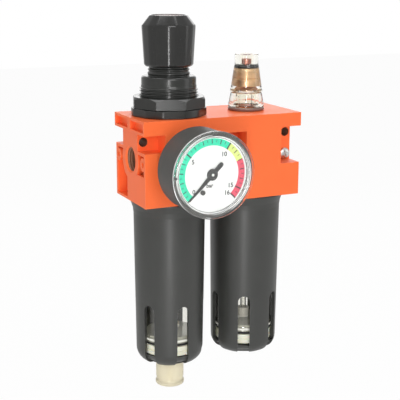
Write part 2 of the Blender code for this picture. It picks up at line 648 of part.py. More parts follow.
def end_cutters(side):
    """What is cut from one end of the body: side is -1 at the inlet and 1 at the outlet."""
    label = "inlet" if side < 0 else "outlet"
    facing_out = "left" if side < 0 else "right"
    stage = REGULATOR if side < 0 else LUBRICATOR
    notch_height = INLET_NOTCH_HEIGHT if side < 0 else OUTLET_NOTCH_HEIGHT
    notch_bottom = BAND_BOTTOM - notch_height
    end = side * BODY_LENGTH / 2
    block_end = end - side * BLOCK_INSET
    inner = end - side * NOTCH_LENGTH
    past_end = end + side * PAST
    port = Vector((end, AXIS_Y, 0))
    cutters = []

    def box(name, x1, x2, y1, y2, z1, z2):
        return block(f"{label}_{name}", (min(x1, x2), min(y1, y2), z1), (max(x1, x2), max(y1, y2), z2))

    for hand, face in ((1, 0.0), (-1, FRONT)):
        where = "rear" if hand > 0 else "front"
        web_face = AXIS_Y + hand * WEB_THICKNESS / 2
        outside = face + hand * PAST
        cutters.append(box(f"{where}_notch", inner, past_end, web_face, outside, notch_bottom, BAND_BOTTOM))
        recess = box(
            f"{where}_recess", block_end - side * RECESS_DEPTH, past_end,
            AXIS_Y, face - hand * RECESS_WALL, BOTTOM + RECESS_LIP, notch_bottom - RECESS_ROOF,
        )
        reach = RECESS_DEPTH + 2 * PAST
        cut(
            recess,
            rod(f"{label}_{where}_boss_kept", port, PORT_BOSS_RADIUS, -reach, 2 * PAST, direction=facing_out),
            box(f"{where}_rib_kept", block_end - side * reach, past_end + side * PAST,
                AXIS_Y - RIB_WIDTH / 2, AXIS_Y + RIB_WIDTH / 2, BOTTOM - PAST, BAND_BOTTOM),
            rod(f"{label}_{where}_bowl_wall_kept", stage, BOWL_BORE_RADIUS + BOWL_BORE_WALL,
                BOTTOM - PAST, BAND_BOTTOM, steps=36),
        )
        cutters.append(recess)
        if side < 0:
            boss = Vector((end, face - hand * COUPLING_BOSS_RADIUS, 0))
            cut(recess, rod(f"{where}_coupling_boss_kept", boss, COUPLING_BOSS_RADIUS, -reach, 2 * PAST,
                            steps=16, direction=facing_out))
            cutters.append(rod(f"{where}_coupling_hole", boss, COUPLING_HOLE_RADIUS, -COUPLING_HOLE_DEPTH,
                               PAST, steps=12, direction=facing_out))
        pocket_low = TOP - BAND_HEIGHT / 2 - BAND_POCKET_HEIGHT / 2
        cutters.append(box(
            f"{where}_band_pocket", end - side * BAND_POCKET_DEPTH, past_end,
            AXIS_Y + hand * BAND_POCKET_RIB / 2, face - hand * BAND_POCKET_WALL,
            pocket_low, pocket_low + BAND_POCKET_HEIGHT,
        ))
    cutters.append(box("end_inset", block_end, past_end, FRONT - PAST, PAST, BOTTOM - PAST, BAND_BOTTOM))
    cutters.append(rod(f"{label}_port", port, PORT_RADIUS, -PORT_DEPTH, PAST, direction=facing_out))
    hole = (end - side * WALL_HOLE_INSET, 0, TOP - WALL_HOLE_DROP)
    cutters.append(rod(f"{label}_wall_hole", hole, WALL_HOLE_RADIUS, FRONT - PAST, PAST,
                       steps=16, direction="rear"))
    return cutters


def gauge_port_cutters(hand):
    """The gauge port on the front (-1) or rear (1) face, with its signal hole into the outlet chamber."""
    face = FRONT if hand < 0 else 0.0
    inner = face - hand * GAUGE_PORT_DEPTH
    where = "front" if hand < 0 else "rear"
    middle = Vector((REGULATOR.x, face, 0))
    rim = AXIS_Y + hand * (CHAMBER_RADIUS - 1.5 * SIGNAL_HOLE_RADIUS)
    return [
        rod(f"{where}_gauge_port", middle, GAUGE_PORT_RADIUS, -GAUGE_PORT_DEPTH, PAST,
            direction="front" if hand < 0 else "rear"),
        drill(f"{where}_signal_hole", (REGULATOR.x, inner + hand * SIGNAL_HOLE_RADIUS, 0),
              (REGULATOR.x, rim, CHAMBER_FLOOR + MM), SIGNAL_HOLE_RADIUS, steps=8),
    ]


def make_body():
    body = block("body", (-BODY_LENGTH / 2, FRONT, BOTTOM), (BODY_LENGTH / 2, 0, TOP), ORANGE, BODY_EDGE)
    cutters = end_cutters(-1) + end_cutters(1)
    cutters.append(block(
        "front_pocket", (-POCKET_WIDTH / 2, FRONT - PAST, TOP - POCKET_DROP - POCKET_HEIGHT),
        (POCKET_WIDTH / 2, FRONT + POCKET_DEPTH, TOP - POCKET_DROP),
    ))
    bowl_bore = [(BOWL_BORE_RADIUS, BOWL_BORE_TOP), (BOWL_BORE_RADIUS, BOTTOM - PAST)]
    dome_bore, insert_bore = DOME_THREAD_BORE, INSERT_RADIUS + RUNNING_GAP
    cutters += [
        solid_turned("regulator_bores", [
            (DIAPHRAGM_BORE_RADIUS, TOP + PAST), (DIAPHRAGM_BORE_RADIUS, DIAPHRAGM_SEAT),
            (CHAMBER_RADIUS, DIAPHRAGM_SEAT), (CHAMBER_RADIUS, CHAMBER_FLOOR),
            (VALVE_BORE_RADIUS, CHAMBER_FLOOR), (VALVE_BORE_RADIUS, BOWL_BORE_TOP), *bowl_bore,
        ], REGULATOR, steps=20),
        solid_turned("lubricator_bores", [
            (dome_bore, TOP + PAST), (dome_bore, INSERT_STEP), (insert_bore, INSERT_STEP),
            (insert_bore, BOWL_BORE_TOP), *bowl_bore,
        ], LUBRICATOR, steps=20),
    ]
    # Supply air runs from the inlet port down into the bowl, outside the baffle.
    drop = Vector((-BODY_LENGTH / 2 + PORT_DEPTH - PASSAGE_RADIUS, AXIS_Y, 0))
    cutters.append(drill("supply_drop", (drop.x, drop.y, BOWL_BORE_TOP - PAST), drop, PASSAGE_RADIUS))
    # Regulated air runs across to the lubricator's flow bore, and out at the outlet port.
    step_down = LUBRICATOR.x - VANE_OFFSET - 2 * PASSAGE_RADIUS
    cutters += [
        drill("cross_passage", (REGULATOR.x, AXIS_Y, PASSAGE_LEVEL), (step_down, AXIS_Y, PASSAGE_LEVEL),
              PASSAGE_RADIUS),
        drill("step_down", (step_down, AXIS_Y, 0), (step_down, AXIS_Y, PASSAGE_LEVEL), PASSAGE_RADIUS),
        drill("flow_bore", (step_down - PASSAGE_RADIUS - PAST, AXIS_Y, 0),
              (BODY_LENGTH / 2 - PORT_DEPTH + PAST, AXIS_Y, 0), FLOW_BORE_RADIUS, steps=16),
    ]
    cutters += gauge_port_cutters(-1) + gauge_port_cutters(1)
    cutters.append(rod("side_screw_hole", side_screw_place(), SIDE_SCREW_RADIUS + RUNNING_GAP,
                       -SIDE_SCREW_LENGTH - SEAT_GAP, PAST, steps=12, direction="front"))
    return cut_together(body, cutters)


def side_screw_place():
    return Vector((BODY_LENGTH / 2 - SIDE_SCREW_INSET, AXIS_Y - WEB_THICKNESS / 2, TOP - SIDE_SCREW_DROP))


def make_side_screw():
    head, shank = SIDE_SCREW_HEAD_RADIUS, SIDE_SCREW_RADIUS
    top = SEAT_GAP + SIDE_SCREW_HEAD_HEIGHT
    profile = [
        (SIDE_SCREW_HEAD_FLAT, top), (head - SMALL_EDGE, top - SMALL_EDGE), (head, SEAT_GAP + SMALL_EDGE),
        (head, SEAT_GAP), (shank, SEAT_GAP), (shank, -SIDE_SCREW_LENGTH),
    ]
    solid_turned("side_screw", profile, side_screw_place(), STEEL, 12, "front")


def make_rear_plug():
    middle, end = (REGULATOR.x, 0, 0), -PLUG_RECESS - PLUG_DEPTH
    plug = rod("rear_gauge_plug", middle, SOCKET_THREAD_RADIUS, end, -PLUG_RECESS, BRASS, direction="rear")
    cut(plug, rod("plug_hex", middle, PLUG_HEX_RADIUS, end / 2, PAST, steps=6, direction="rear"))


def make_bonnet():
    """A flanged housing: skirt in the body, threaded barrel, collar, and a neck that the knob runs over."""
    skirt, skirt_end = DIAPHRAGM_BORE_RADIUS - RUNNING_GAP, DIAPHRAGM_TOP + SEAT_GAP
    neck_top, collar_top = TOP + BONNET_NECK_TOP, TOP + BONNET_COLLAR_TOP
    cone_base, flange_top = TOP + BONNET_THREAD_TOP, BONNET_BASE + BONNET_FLANGE_HEIGHT
    screw_bore = SCREW_RADIUS + RUNNING_GAP
    profile = [
        (BONNET_NECK_RADIUS, neck_top), (BONNET_NECK_RADIUS, collar_top),
        (BONNET_COLLAR_RADIUS - EDGE, collar_top), (BONNET_COLLAR_RADIUS, collar_top - EDGE),
        (BONNET_COLLAR_RADIUS, cone_base), (BONNET_THREAD_RADIUS, cone_base - EDGE),
        (BONNET_THREAD_RADIUS, flange_top), (BONNET_FLANGE_RADIUS, flange_top),
        (BONNET_FLANGE_RADIUS, BONNET_BASE), (skirt, BONNET_BASE), (skirt, skirt_end),
        (BONNET_BORE_RADIUS, skirt_end), (BONNET_BORE_RADIUS, cone_base),
        (screw_bore, cone_base), (screw_bore, neck_top),
    ]
    bonnet = turned("regulator_bonnet", profile, REGULATOR, BLACK)
    cut(bonnet, rod("bonnet_neck_bore", REGULATOR, NECK_BORE_RADIUS, cone_base - PAST, ROOF_BOTTOM, steps=6))
    # Spanner flats, each standing between two round stretches of the flange.
    reach = BONNET_FLANGE_RADIUS
    for i in range(BONNET_FLATS):
        angle = BONNET_FLAT_TURN + math.tau * i / BONNET_FLATS - math.pi / 2
        flat = block(f"bonnet_flat_{i}", (BONNET_FLAT_APOTHEM, -reach, -PAST),
                     (BONNET_FLAT_APOTHEM + reach, reach, BONNET_FLANGE_HEIGHT + PAST))
        cut(bonnet, place(flat, REGULATOR + Vector((0, 0, BONNET_BASE)), turn=angle))


def make_panel_nut():
    nut_top = NUT_BASE + NUT_HEIGHT
    nut = rod("panel_nut", REGULATOR, NUT_RADIUS, NUT_BASE, nut_top, BLACK, NUT_SIDES,
              turn=NUT_TURN - math.pi / 2)
    cut(nut, rod("panel_nut_bore", REGULATOR, BONNET_THREAD_RADIUS + RUNNING_GAP, NUT_BASE - PAST,
                 nut_top + PAST, steps=24))


def make_knob():
    """A hollow tapered knob: it runs down over the bonnet's neck and turns the screw by a long hexagon."""
    inside = BONNET_NECK_RADIUS + 2 * RUNNING_GAP
    cap_seat = TOP + KNOB_TOP - KNOB_CAP_THICKNESS - 2 * SEAT_GAP
    socket_top = HEX_BASE + SCREW_HEX_HEIGHT + LOCK_TRAVEL + SEAT_GAP
    ceiling = TOP + BONNET_NECK_TOP + LOCK_TRAVEL + 2 * SEAT_GAP
    base = TOP + KNOB_BASE
    outside = [
        (KNOB_TOP_RADIUS, TOP + KNOB_TOP), (KNOB_SHOULDER_RADIUS, TOP + KNOB_SHOULDER),
        (KNOB_BASE_RADIUS, base + KNOB_BASE_CHAMFER), (KNOB_BASE_RADIUS - KNOB_BASE_CHAMFER, base),
    ]
    angles = []
    for i in range(KNOB_SIDES):
        start = KNOB_TURN - math.pi / 2 + math.tau * i / KNOB_SIDES
        angles += [start, start + KNOB_WIDE_FACET]
    knob = lofted("adjusting_knob", outside, angles, REGULATOR, BLACK)
    cut(
        knob,
        rod("knob_inside", REGULATOR, inside, base - PAST, ceiling),
        rod("knob_socket", REGULATOR, SCREW_HEX_RADIUS + RUNNING_GAP, ceiling - PAST, socket_top, steps=6),
        rod("knob_cap_seat", REGULATOR, KNOB_CAP_RADIUS + RUNNING_GAP, cap_seat, TOP + KNOB_TOP + PAST),
    )
    cap_base = cap_seat + SEAT_GAP
    rod("knob_cap", REGULATOR, KNOB_CAP_RADIUS, cap_base, cap_base + KNOB_CAP_THICKNESS, CAP_BROWN)


def make_adjusting_screw():
    shank_end = SPRING_NUT_BOTTOM - NUT_TRAVEL - SCREW_END
    profile = [
        (SCREW_RADIUS, HEX_BASE), (SCREW_RADIUS, ROOF_BOTTOM - SEAT_GAP),
        (SCREW_COLLAR_RADIUS, ROOF_BOTTOM - SEAT_GAP), (SCREW_COLLAR_RADIUS, COLLAR_BOTTOM),
        (SCREW_RADIUS, COLLAR_BOTTOM), (SCREW_RADIUS, shank_end),
    ]
    screw = solid_turned("adjusting_screw", profile, REGULATOR, STEEL, 14)
    join(screw, rod("screw_hex", REGULATOR, SCREW_HEX_RADIUS, HEX_BASE, HEX_BASE + SCREW_HEX_HEIGHT, steps=6))
    nut_top = SPRING_NUT_BOTTOM + SPRING_NUT_HEIGHT
    nut = rod("spring_nut", REGULATOR, SPRING_NUT_RADIUS, SPRING_NUT_BOTTOM, nut_top, BRASS, steps=6)
    cut(nut, rod("spring_nut_bore", REGULATOR, SCREW_RADIUS + RUNNING_GAP, SPRING_NUT_BOTTOM - PAST,
                 nut_top + PAST, steps=20))


def make_diaphragm():
    tube_shape("diaphragm", REGULATOR, DIAPHRAGM_BORE_RADIUS - RUNNING_GAP, PLATE_BOSS_RADIUS + RUNNING_GAP,
               DIAPHRAGM_BOTTOM, DIAPHRAGM_TOP, RUBBER, 18)
    boss_end = DIAPHRAGM_BOTTOM - SEAT_GAP
    spring_seat = MAIN_COIL_RADIUS - MAIN_WIRE - RUNNING_GAP
    profile = [
        (spring_seat, PLATE_TOP + PLATE_STEP), (spring_seat, PLATE_TOP), (PLATE_RADIUS, PLATE_TOP),
        (PLATE_RADIUS, PLATE_BOTTOM), (PLATE_BOSS_RADIUS, PLATE_BOTTOM), (PLATE_BOSS_RADIUS, boss_end),
    ]
    solid_turned("diaphragm_plate", profile, REGULATOR, STEEL, 16)
    coil("regulating_spring", REGULATOR, MAIN_COIL_RADIUS, MAIN_WIRE, PLATE_TOP + SEAT_GAP,
         SPRING_NUT_BOTTOM - SEAT_GAP, MAIN_TURNS, SPRING_STEEL)


def make_valve():
    seat_radius = VALVE_BORE_RADIUS - RUNNING_GAP
    tube_shape("valve_seat", REGULATOR, seat_radius, VALVE_SEAT_BORE, SEAT_BOTTOM, SEAT_TOP, BRASS, 16)
    stem_top = DIAPHRAGM_BOTTOM - 2 * SEAT_GAP
    tail_end = HOLDER_BOTTOM + POPPET_END_GAP + VALVE_STROKE
    profile = [
        (POPPET_STEM_RADIUS, stem_top), (POPPET_STEM_RADIUS, POPPET_TOP), (POPPET_RADIUS, POPPET_TOP),
        (POPPET_RADIUS, POPPET_BOTTOM), (POPPET_TAIL_RADIUS, POPPET_BOTTOM), (POPPET_TAIL_RADIUS, tail_end),
    ]
    solid_turned("valve_poppet", profile, REGULATOR, BRASS, 12)
    stud_bore, guide_bore = STUD_RADIUS + SEAT_GAP, POPPET_TAIL_RADIUS + RUNNING_GAP
    holder = turned("valve_holder", [
        (seat_radius, HOLDER_TOP), (seat_radius, HOLDER_BOTTOM), (HOLDER_STUB_RADIUS, HOLDER_BOTTOM),
        (HOLDER_STUB_RADIUS, HOLDER_STUB_BOTTOM), (stud_bore, HOLDER_STUB_BOTTOM), (stud_bore, HOLDER_BOTTOM),
        (guide_bore, HOLDER_BOTTOM), (guide_bore, HOLDER_TOP),
    ], REGULATOR, WHITE, 12)
    # Notches in its rim let the filtered air up to the valve.
    half, notch_root = HOLDER_NOTCH_WIDTH / 2, HOLDER_STUB_RADIUS + HOLDER_NOTCH_STEP
    for i in range(HOLDER_NOTCHES):
        notch = block(f"holder_notch_{i}", (notch_root, -half, HOLDER_BOTTOM - PAST),
                      (VALVE_BORE_RADIUS + PAST, half, HOLDER_TOP + PAST))
        cut(holder, place(notch, REGULATOR, turn=math.tau * i / HOLDER_NOTCHES))
    coil("valve_spring", REGULATOR, VALVE_COIL_RADIUS, VALVE_WIRE, HOLDER_TOP + SEAT_GAP,
         POPPET_BOTTOM - SEAT_GAP, VALVE_TURNS, SPRING_STEEL)


def make_filter():
    """Swirl baffle, sintered element and the retainer whose stud hangs them under the valve."""
    baffle = tube_shape("filter_baffle", REGULATOR, BAFFLE_RADIUS, BAFFLE_BORE, BAFFLE_TOP - BAFFLE_HEIGHT,
                        BAFFLE_TOP, WHITE, 16)
    for i in range(BAFFLE_VANES):
        angle = math.tau * i / BAFFLE_VANES
        gap = block(f"baffle_gap_{i}", (ELEMENT_RADIUS, -BAFFLE_VANE_GAP / 2, -BAFFLE_HEIGHT - 2 * PAST),
                    (BAFFLE_RADIUS + PAST, BAFFLE_VANE_GAP / 2, 2 * PAST))
        lean = Matrix.Rotation(BAFFLE_VANE_LEAN, 4, "X")
        gap.matrix_world = (Matrix.Translation(REGULATOR + Vector((0, 0, BAFFLE_TOP)))
                            @ Matrix.Rotation(angle, 4, "Z") @ lean)
        cut(baffle, gap)
    tube_shape("filter_element", REGULATOR, ELEMENT_RADIUS, ELEMENT_BORE, ELEMENT_BOTTOM, ELEMENT_TOP,
               SINTERED, 16)
    stud_top = HOLDER_BOTTOM - SEAT_GAP
    profile = [
        (STUD_RADIUS, stud_top), (STUD_RADIUS, RETAINER_TOP), (ELEMENT_RADIUS, RETAINER_TOP),
        (RETAINER_RADIUS, RETAINER_TOP - RETAINER_CONE), (RETAINER_RADIUS, RETAINER_TOP - RETAINER_HEIGHT),
    ]
    solid_turned("element_retainer", profile, REGULATOR, WHITE, 16)


def make_bowl(label, stage):
    """The clear bowl with its two seals, open at the bottom for the base."""
    rim, rim_top = BOWL_RADIUS + BOWL_RIM_RISE, BOWL_END + BOWL_RIM_HEIGHT
    profile = [
        (SPIGOT_RADIUS, BOWL_TOP), (SPIGOT_RADIUS, BOWL_TOP - BOWL_FLANGE_HEIGHT),
        (BOWL_RADIUS, BOWL_TOP - BOWL_FLANGE_HEIGHT), (BOWL_RADIUS, rim_top),
        (rim, rim_top - BOWL_RIM_RISE), (rim, BOWL_END), (BOWL_BORE, BOWL_END), (BOWL_BORE, BOWL_TOP),
    ]
    turned(f"{label}_bowl", profile, stage, CLEAR, 20)
    o_ring(f"{label}_bowl_seal", stage, (BOWL_BORE + SPIGOT_RADIUS) / 2, BOWL_SEAL_SECTION, BOWL_SEAL_LEVEL,
           RUBBER)
    o_ring(f"{label}_base_seal", stage, (BOWL_BORE + BOWL_RADIUS) / 2, BASE_SEAL_SECTION,
           BASE_DISC_TOP + SEAT_GAP + BASE_SEAL_SECTION, RUBBER)


def base_profile():
    return [
        (BOWL_BORE - RUNNING_GAP, BASE_SPIGOT_TOP), (BOWL_BORE - RUNNING_GAP, BASE_DISC_TOP),
        (BOWL_RADIUS - BASE_DISC_INSET, BASE_DISC_TOP), (BOWL_RADIUS - BASE_DISC_INSET, BASE_DISC_BOTTOM),
        (BASE_BOSS_RADIUS, BASE_DISC_BOTTOM), (BASE_BOSS_RADIUS, BASE_BOSS_BOTTOM),
    ]


def make_bases():
    stem_bore = DRAIN_STEM_RADIUS + RUNNING_GAP
    drain_bores = [
        (DRAIN_POCKET_RADIUS, BASE_BOSS_BOTTOM), (DRAIN_POCKET_RADIUS, DRAIN_POCKET_TOP),
        (DRAIN_SPRING_POCKET, DRAIN_POCKET_TOP), (DRAIN_SPRING_POCKET, DRAIN_SPRING_TOP),
        (stem_bore, DRAIN_SPRING_TOP), (stem_bore, BASE_SPIGOT_TOP),
    ]
    turned("filter_bowl_base", base_profile() + drain_bores, REGULATOR, CREAM, 20)
    blind = [(DRAIN_SPRING_POCKET, BASE_BOSS_BOTTOM), (DRAIN_SPRING_POCKET, BASE_DISC_BOTTOM),
             (0.0, BASE_DISC_BOTTOM)]
    profile = [(0.0, BASE_SPIGOT_TOP), *base_profile(), *blind]
    turned("lubricator_bowl_base", profile, LUBRICATOR, CREAM, 20, ring=False)


def guard_profile():
    corner = (GUARD_END_RADIUS - GUARD_CORNER, GUARD_END + GUARD_CORNER)
    collar_top = BOTTOM - SEAT_GAP
    ledge_radius = GUARD_BORE - GUARD_LEDGE_WIDTH
    return [
        (SPIGOT_RADIUS, SPIGOT_TOP), (SPIGOT_RADIUS, collar_top), (GUARD_COLLAR_RADIUS, collar_top),
        (GUARD_COLLAR_RADIUS, collar_top - EDGE), (GUARD_TOP_RADIUS, collar_top - GUARD_COLLAR_HEIGHT),
        *arc(corner, GUARD_CORNER, 0, -90, 4),
        (GUARD_HOLE_RADIUS, GUARD_END), (GUARD_HOLE_RADIUS, GUARD_FLOOR_TOP),
        (ledge_radius - GUARD_LEDGE_CONE, GUARD_FLOOR_TOP), (ledge_radius, GUARD_LEDGE),
        (GUARD_BORE, GUARD_LEDGE), (GUARD_BORE, SPIGOT_TOP),
    ]


def slot_cutters(label, stage, turn):
    """Round-topped windows with a groove that runs on from each, round the corner under the guard."""
    corner = (GUARD_END_RADIUS - GUARD_CORNER, GUARD_END + GUARD_CORNER)
    half = SLOT_WIDTH / 2
    slot_low, slot_high = GUARD_LEDGE, GUARD_LEDGE + SLOT_LENGTH - half
    window = [(half, slot_low), *arc((0.0, slot_high), half, 0, 180, 4), (-half, slot_low)]
    outside = GUARD_COLLAR_RADIUS + PAST
    inset = GUARD_CORNER - SLOT_GROOVE
    groove = [
        *arc(corner, inset, -90, 0, 4), (corner[0] + inset, slot_low + PAST),
        (outside, slot_low + PAST), (outside, GUARD_END - PAST), (corner[0], GUARD_END - PAST),
    ]
    cutters = []
    for i in range(GUARD_SLOTS):
        angle = turn + math.tau * i / GUARD_SLOTS
        around = Matrix.Translation(stage) @ Matrix.Rotation(angle, 4, "Z")
        opening = plate(f"{label}_slot_{i}", window, GUARD_BORE - PAST, outside, (0, 0, 0))
        opening.matrix_world = around @ facing("front")
        channel = plate(f"{label}_groove_{i}", groove, -half, half, (0, 0, 0))
        channel.matrix_world = around @ Matrix.Rotation(-math.pi / 2, 4, "Z") @ facing("front")
        cutters += [opening, channel]
    return cutters


def make_guard(label, stage, turn):
    guard = turned(f"{label}_guard", guard_profile(), stage, GUARD_GREY, 26)
    cut(guard, *slot_cutters(label, stage, turn))


def make_drain():
    end = GUARD_END - DRAIN_REACH
    stem_bottom = DRAIN_KNOB_TOP - DRAIN_STEM_GRIP
    head_top = DRAIN_HEAD_BOTTOM + DRAIN_HEAD_HEIGHT
    solid_turned("drain_stem", [
        (DRAIN_HEAD_RADIUS, head_top), (DRAIN_HEAD_RADIUS, DRAIN_HEAD_BOTTOM),
        (DRAIN_STEM_RADIUS, DRAIN_HEAD_BOTTOM), (DRAIN_STEM_RADIUS, stem_bottom),
    ], REGULATOR, CREAM, 16)
    seal_radius = (DRAIN_HEAD_RADIUS + DRAIN_STEM_RADIUS) / 2 + DRAIN_SEAL_OFFSET
    o_ring("drain_seal", REGULATOR, seal_radius, DRAIN_SEAL_SECTION, DRAIN_SEAL_LEVEL, RUBBER, steps=14)
    socket, socket_end = DRAIN_STEM_RADIUS + RUNNING_GAP, stem_bottom - SEAT_GAP
    neck = end + DRAIN_FLANGE_HEIGHT + DRAIN_GROOVE_RISE
    turned("drain_knob", [
        (DRAIN_RADIUS, DRAIN_KNOB_TOP), (DRAIN_RADIUS, neck + DRAIN_GROOVE_EDGE), (DRAIN_GROOVE_RADIUS, neck),
        (DRAIN_FLANGE_RADIUS, end + DRAIN_FLANGE_HEIGHT), (DRAIN_FLANGE_RADIUS, end + SMALL_EDGE),
        (DRAIN_FLANGE_RADIUS - SMALL_EDGE, end), (DRAIN_BORE_RADIUS, end),
        (DRAIN_BORE_RADIUS, socket_end), (socket, socket_end), (socket, DRAIN_KNOB_TOP),
    ], REGULATOR, CREAM, 16)
    coil("drain_spring", REGULATOR, DRAIN_STEM_RADIUS + 2 * DRAIN_WIRE + RUNNING_GAP, DRAIN_WIRE,
         DRAIN_KNOB_TOP + SEAT_GAP, DRAIN_SPRING_TOP - SEAT_GAP, DRAIN_TURNS, SPRING_STEEL)


def make_dome():
    """The clear sight dome, its brass bush and needle, and the seals."""
    waist, neck, cap = TOP + DOME_WAIST_HEIGHT, TOP + DOME_NECK_HEIGHT, TOP + DOME_HEIGHT
    sight_top, bush_roof = TOP + DOME_SIGHT_TOP, TOP + DOME_BUSH_TOP
    profile = [
        (DOME_CAP_RADIUS - SMALL_EDGE, cap), (DOME_CAP_RADIUS, cap - SMALL_EDGE),
        (DOME_CAP_RADIUS, bush_roof), (DOME_NECK_RADIUS, neck), (DOME_WAIST_RADIUS, sight_top),
        (DOME_WAIST_RADIUS + DOME_WAIST_LEDGE, waist), (DOME_LOWER_RADIUS, DOME_BASE),
        (DOME_THREAD_RADIUS, DOME_BASE), (DOME_THREAD_RADIUS, DOME_THREAD_END),
        (DOME_SIGHT_BORE - DOME_THREAD_BORE_STEP, DOME_THREAD_END), (DOME_SIGHT_BORE, TOP),
        (DOME_SIGHT_BORE, sight_top), (DOME_BUSH_BORE, sight_top), (DOME_BUSH_BORE, bush_roof),
        (DOME_RECESS_RADIUS, bush_roof), (DOME_RECESS_RADIUS, cap),
    ]
    turned("sight_dome", profile, LUBRICATOR, CLEAR, 20)
    tube_shape("dome_seal", LUBRICATOR, DOME_SEAL_RADIUS, DOME_THREAD_BORE, TOP + SEAT_GAP, DOME_SEAL_TOP,
               RUBBER)
    tube_shape("drip_bush", LUBRICATOR, DOME_BUSH_BORE - RUNNING_GAP, BUSH_BORE, BUSH_BOTTOM, BUSH_TOP,
               BRASS, 20)
    head_base = bush_roof + SEAT_GAP
    needle_top = head_base + NEEDLE_HEAD_HEIGHT
    needle = solid_turned("needle_screw", [
        (NEEDLE_HEAD_RADIUS, needle_top), (NEEDLE_HEAD_RADIUS, head_base),
        (NEEDLE_RADIUS, head_base), (NEEDLE_RADIUS, BUSH_BOTTOM),
        (NEEDLE_TIP_RADIUS, BUSH_BOTTOM - NEEDLE_TIP_LENGTH),
    ], LUBRICATOR, BRASS, 14)
    reach, half = NEEDLE_HEAD_RADIUS + PAST, NEEDLE_SLOT_WIDTH / 2
    slot_base, above = needle_top - NEEDLE_SLOT_DEPTH, needle_top + PAST
    cut(needle, place(block("needle_slot", (-reach, -half, slot_base), (reach, half, above)), LUBRICATOR))
    seal_radius = (DOME_BUSH_BORE + NEEDLE_RADIUS) / 2
    o_ring("needle_seal", LUBRICATOR, seal_radius, NEEDLE_SEAL_SECTION, NEEDLE_SEAL_LEVEL, RUBBER, steps=14)


def make_oil_feed():
    """The insert under the dome, with the check ball, the siphon tube and its strainer."""
    socket_top = INSERT_BOTTOM + INSERT_SOCKET_DEPTH
    turned("oil_feed_insert", [
        (INSERT_FLANGE_RADIUS, INSERT_TOP), (INSERT_FLANGE_RADIUS, INSERT_FLANGE_BOTTOM),
        (INSERT_RADIUS, INSERT_FLANGE_BOTTOM), (INSERT_RADIUS, INSERT_BOTTOM), (INSERT_SOCKET, INSERT_BOTTOM),
        (INSERT_SOCKET, socket_top), (INSERT_BORE, socket_top + INSERT_SEAT), (INSERT_BORE, INSERT_TOP),
    ], LUBRICATOR, CREAM, 14)

    def build(shape):
        bmesh.ops.create_uvsphere(shape, u_segments=8, v_segments=5, radius=BALL_RADIUS)

    ball = add_object("check_ball", mesh_from("check_ball", build), STEEL)
    place(ball, LUBRICATOR + Vector((0, 0, BALL_LEVEL)))
    tube_end = STRAINER_TOP - STRAINER_GRIP
    tube_shape("siphon_tube", LUBRICATOR, SIPHON_RADIUS, SIPHON_BORE, tube_end, SIPHON_TOP, CLEAR, 12)
    socket = SIPHON_RADIUS + SEAT_GAP
    turned("siphon_strainer", [
        (STRAINER_RADIUS, STRAINER_TOP), (STRAINER_RADIUS, STRAINER_BOTTOM), (SIPHON_BORE, STRAINER_BOTTOM),
        (SIPHON_BORE, tube_end - SEAT_GAP), (socket, tube_end - SEAT_GAP), (socket, STRAINER_TOP),
    ], LUBRICATOR, SINTERED, 12)


def make_flow_vane():
    """A rubber flap across the flow bore: a disc with a flat below that leaves a bypass open."""
    radius = FLOW_BORE_RADIUS - RUNNING_GAP
    outline = arc((0.0, 0.0), radius, -60, 240, 14)
    place_x = LUBRICATOR.x - VANE_OFFSET
    plate("flow_vane", outline, 0.0, VANE_THICKNESS, (place_x, AXIS_Y, 0), RUBBER, "right", math.pi / 2)


def in_gauge(depth=0.0):
    return Vector((REGULATOR.x, CASE_BACK - depth, 0))


def make_gauge_housing():
    """The case, the clear cover that snaps into its mouth, and the dial that the cover's skirt holds."""
    back_hole = SOCKET_BLOCK_RADIUS + RUNNING_GAP
    turned("gauge_case", [
        (GAUGE_CASE_RADIUS, GAUGE_CASE_DEPTH), (GAUGE_CASE_RADIUS, GAUGE_CASE_EDGE),
        (GAUGE_CASE_RADIUS - GAUGE_CASE_EDGE, 0.0), (back_hole, 0.0), (back_hole, GAUGE_CASE_WALL),
        (CASE_BORE, GAUGE_CASE_WALL), (CASE_BORE, GAUGE_CASE_DEPTH),
    ], in_gauge(), GUARD_GREY, 28, "front")
    rim_back = GAUGE_CASE_DEPTH + SEAT_GAP
    rim_front = rim_back + LENS_RIM_HEIGHT
    window = rim_front - LENS_STEP
    skirt = CASE_BORE - RUNNING_GAP
    skirt_end = POINTER_DEPTH
    window_edge = LENS_RADIUS - LENS_RIM_WIDTH
    turned("gauge_lens", [
        (0.0, window), (window_edge, window), (window_edge + SMALL_EDGE, rim_front),
        (LENS_RADIUS - SMALL_EDGE, rim_front), (LENS_RADIUS, rim_front - SMALL_EDGE), (LENS_RADIUS, rim_back),
        (skirt, rim_back), (skirt, skirt_end), (skirt - LENS_SKIRT_WALL, skirt_end),
        (skirt - LENS_SKIRT_WALL, window - LENS_THICKNESS), (0.0, window - LENS_THICKNESS),
    ], in_gauge(), CLEAR, 28, "front", ring=False)
    tube_shape("gauge_dial", in_gauge(), CASE_BORE - DIAL_INSET, SHAFT_RADIUS + RUNNING_GAP, DIAL_DEPTH,
               DIAL_DEPTH + DIAL_THICKNESS, DIAL_WHITE, 24, "front")


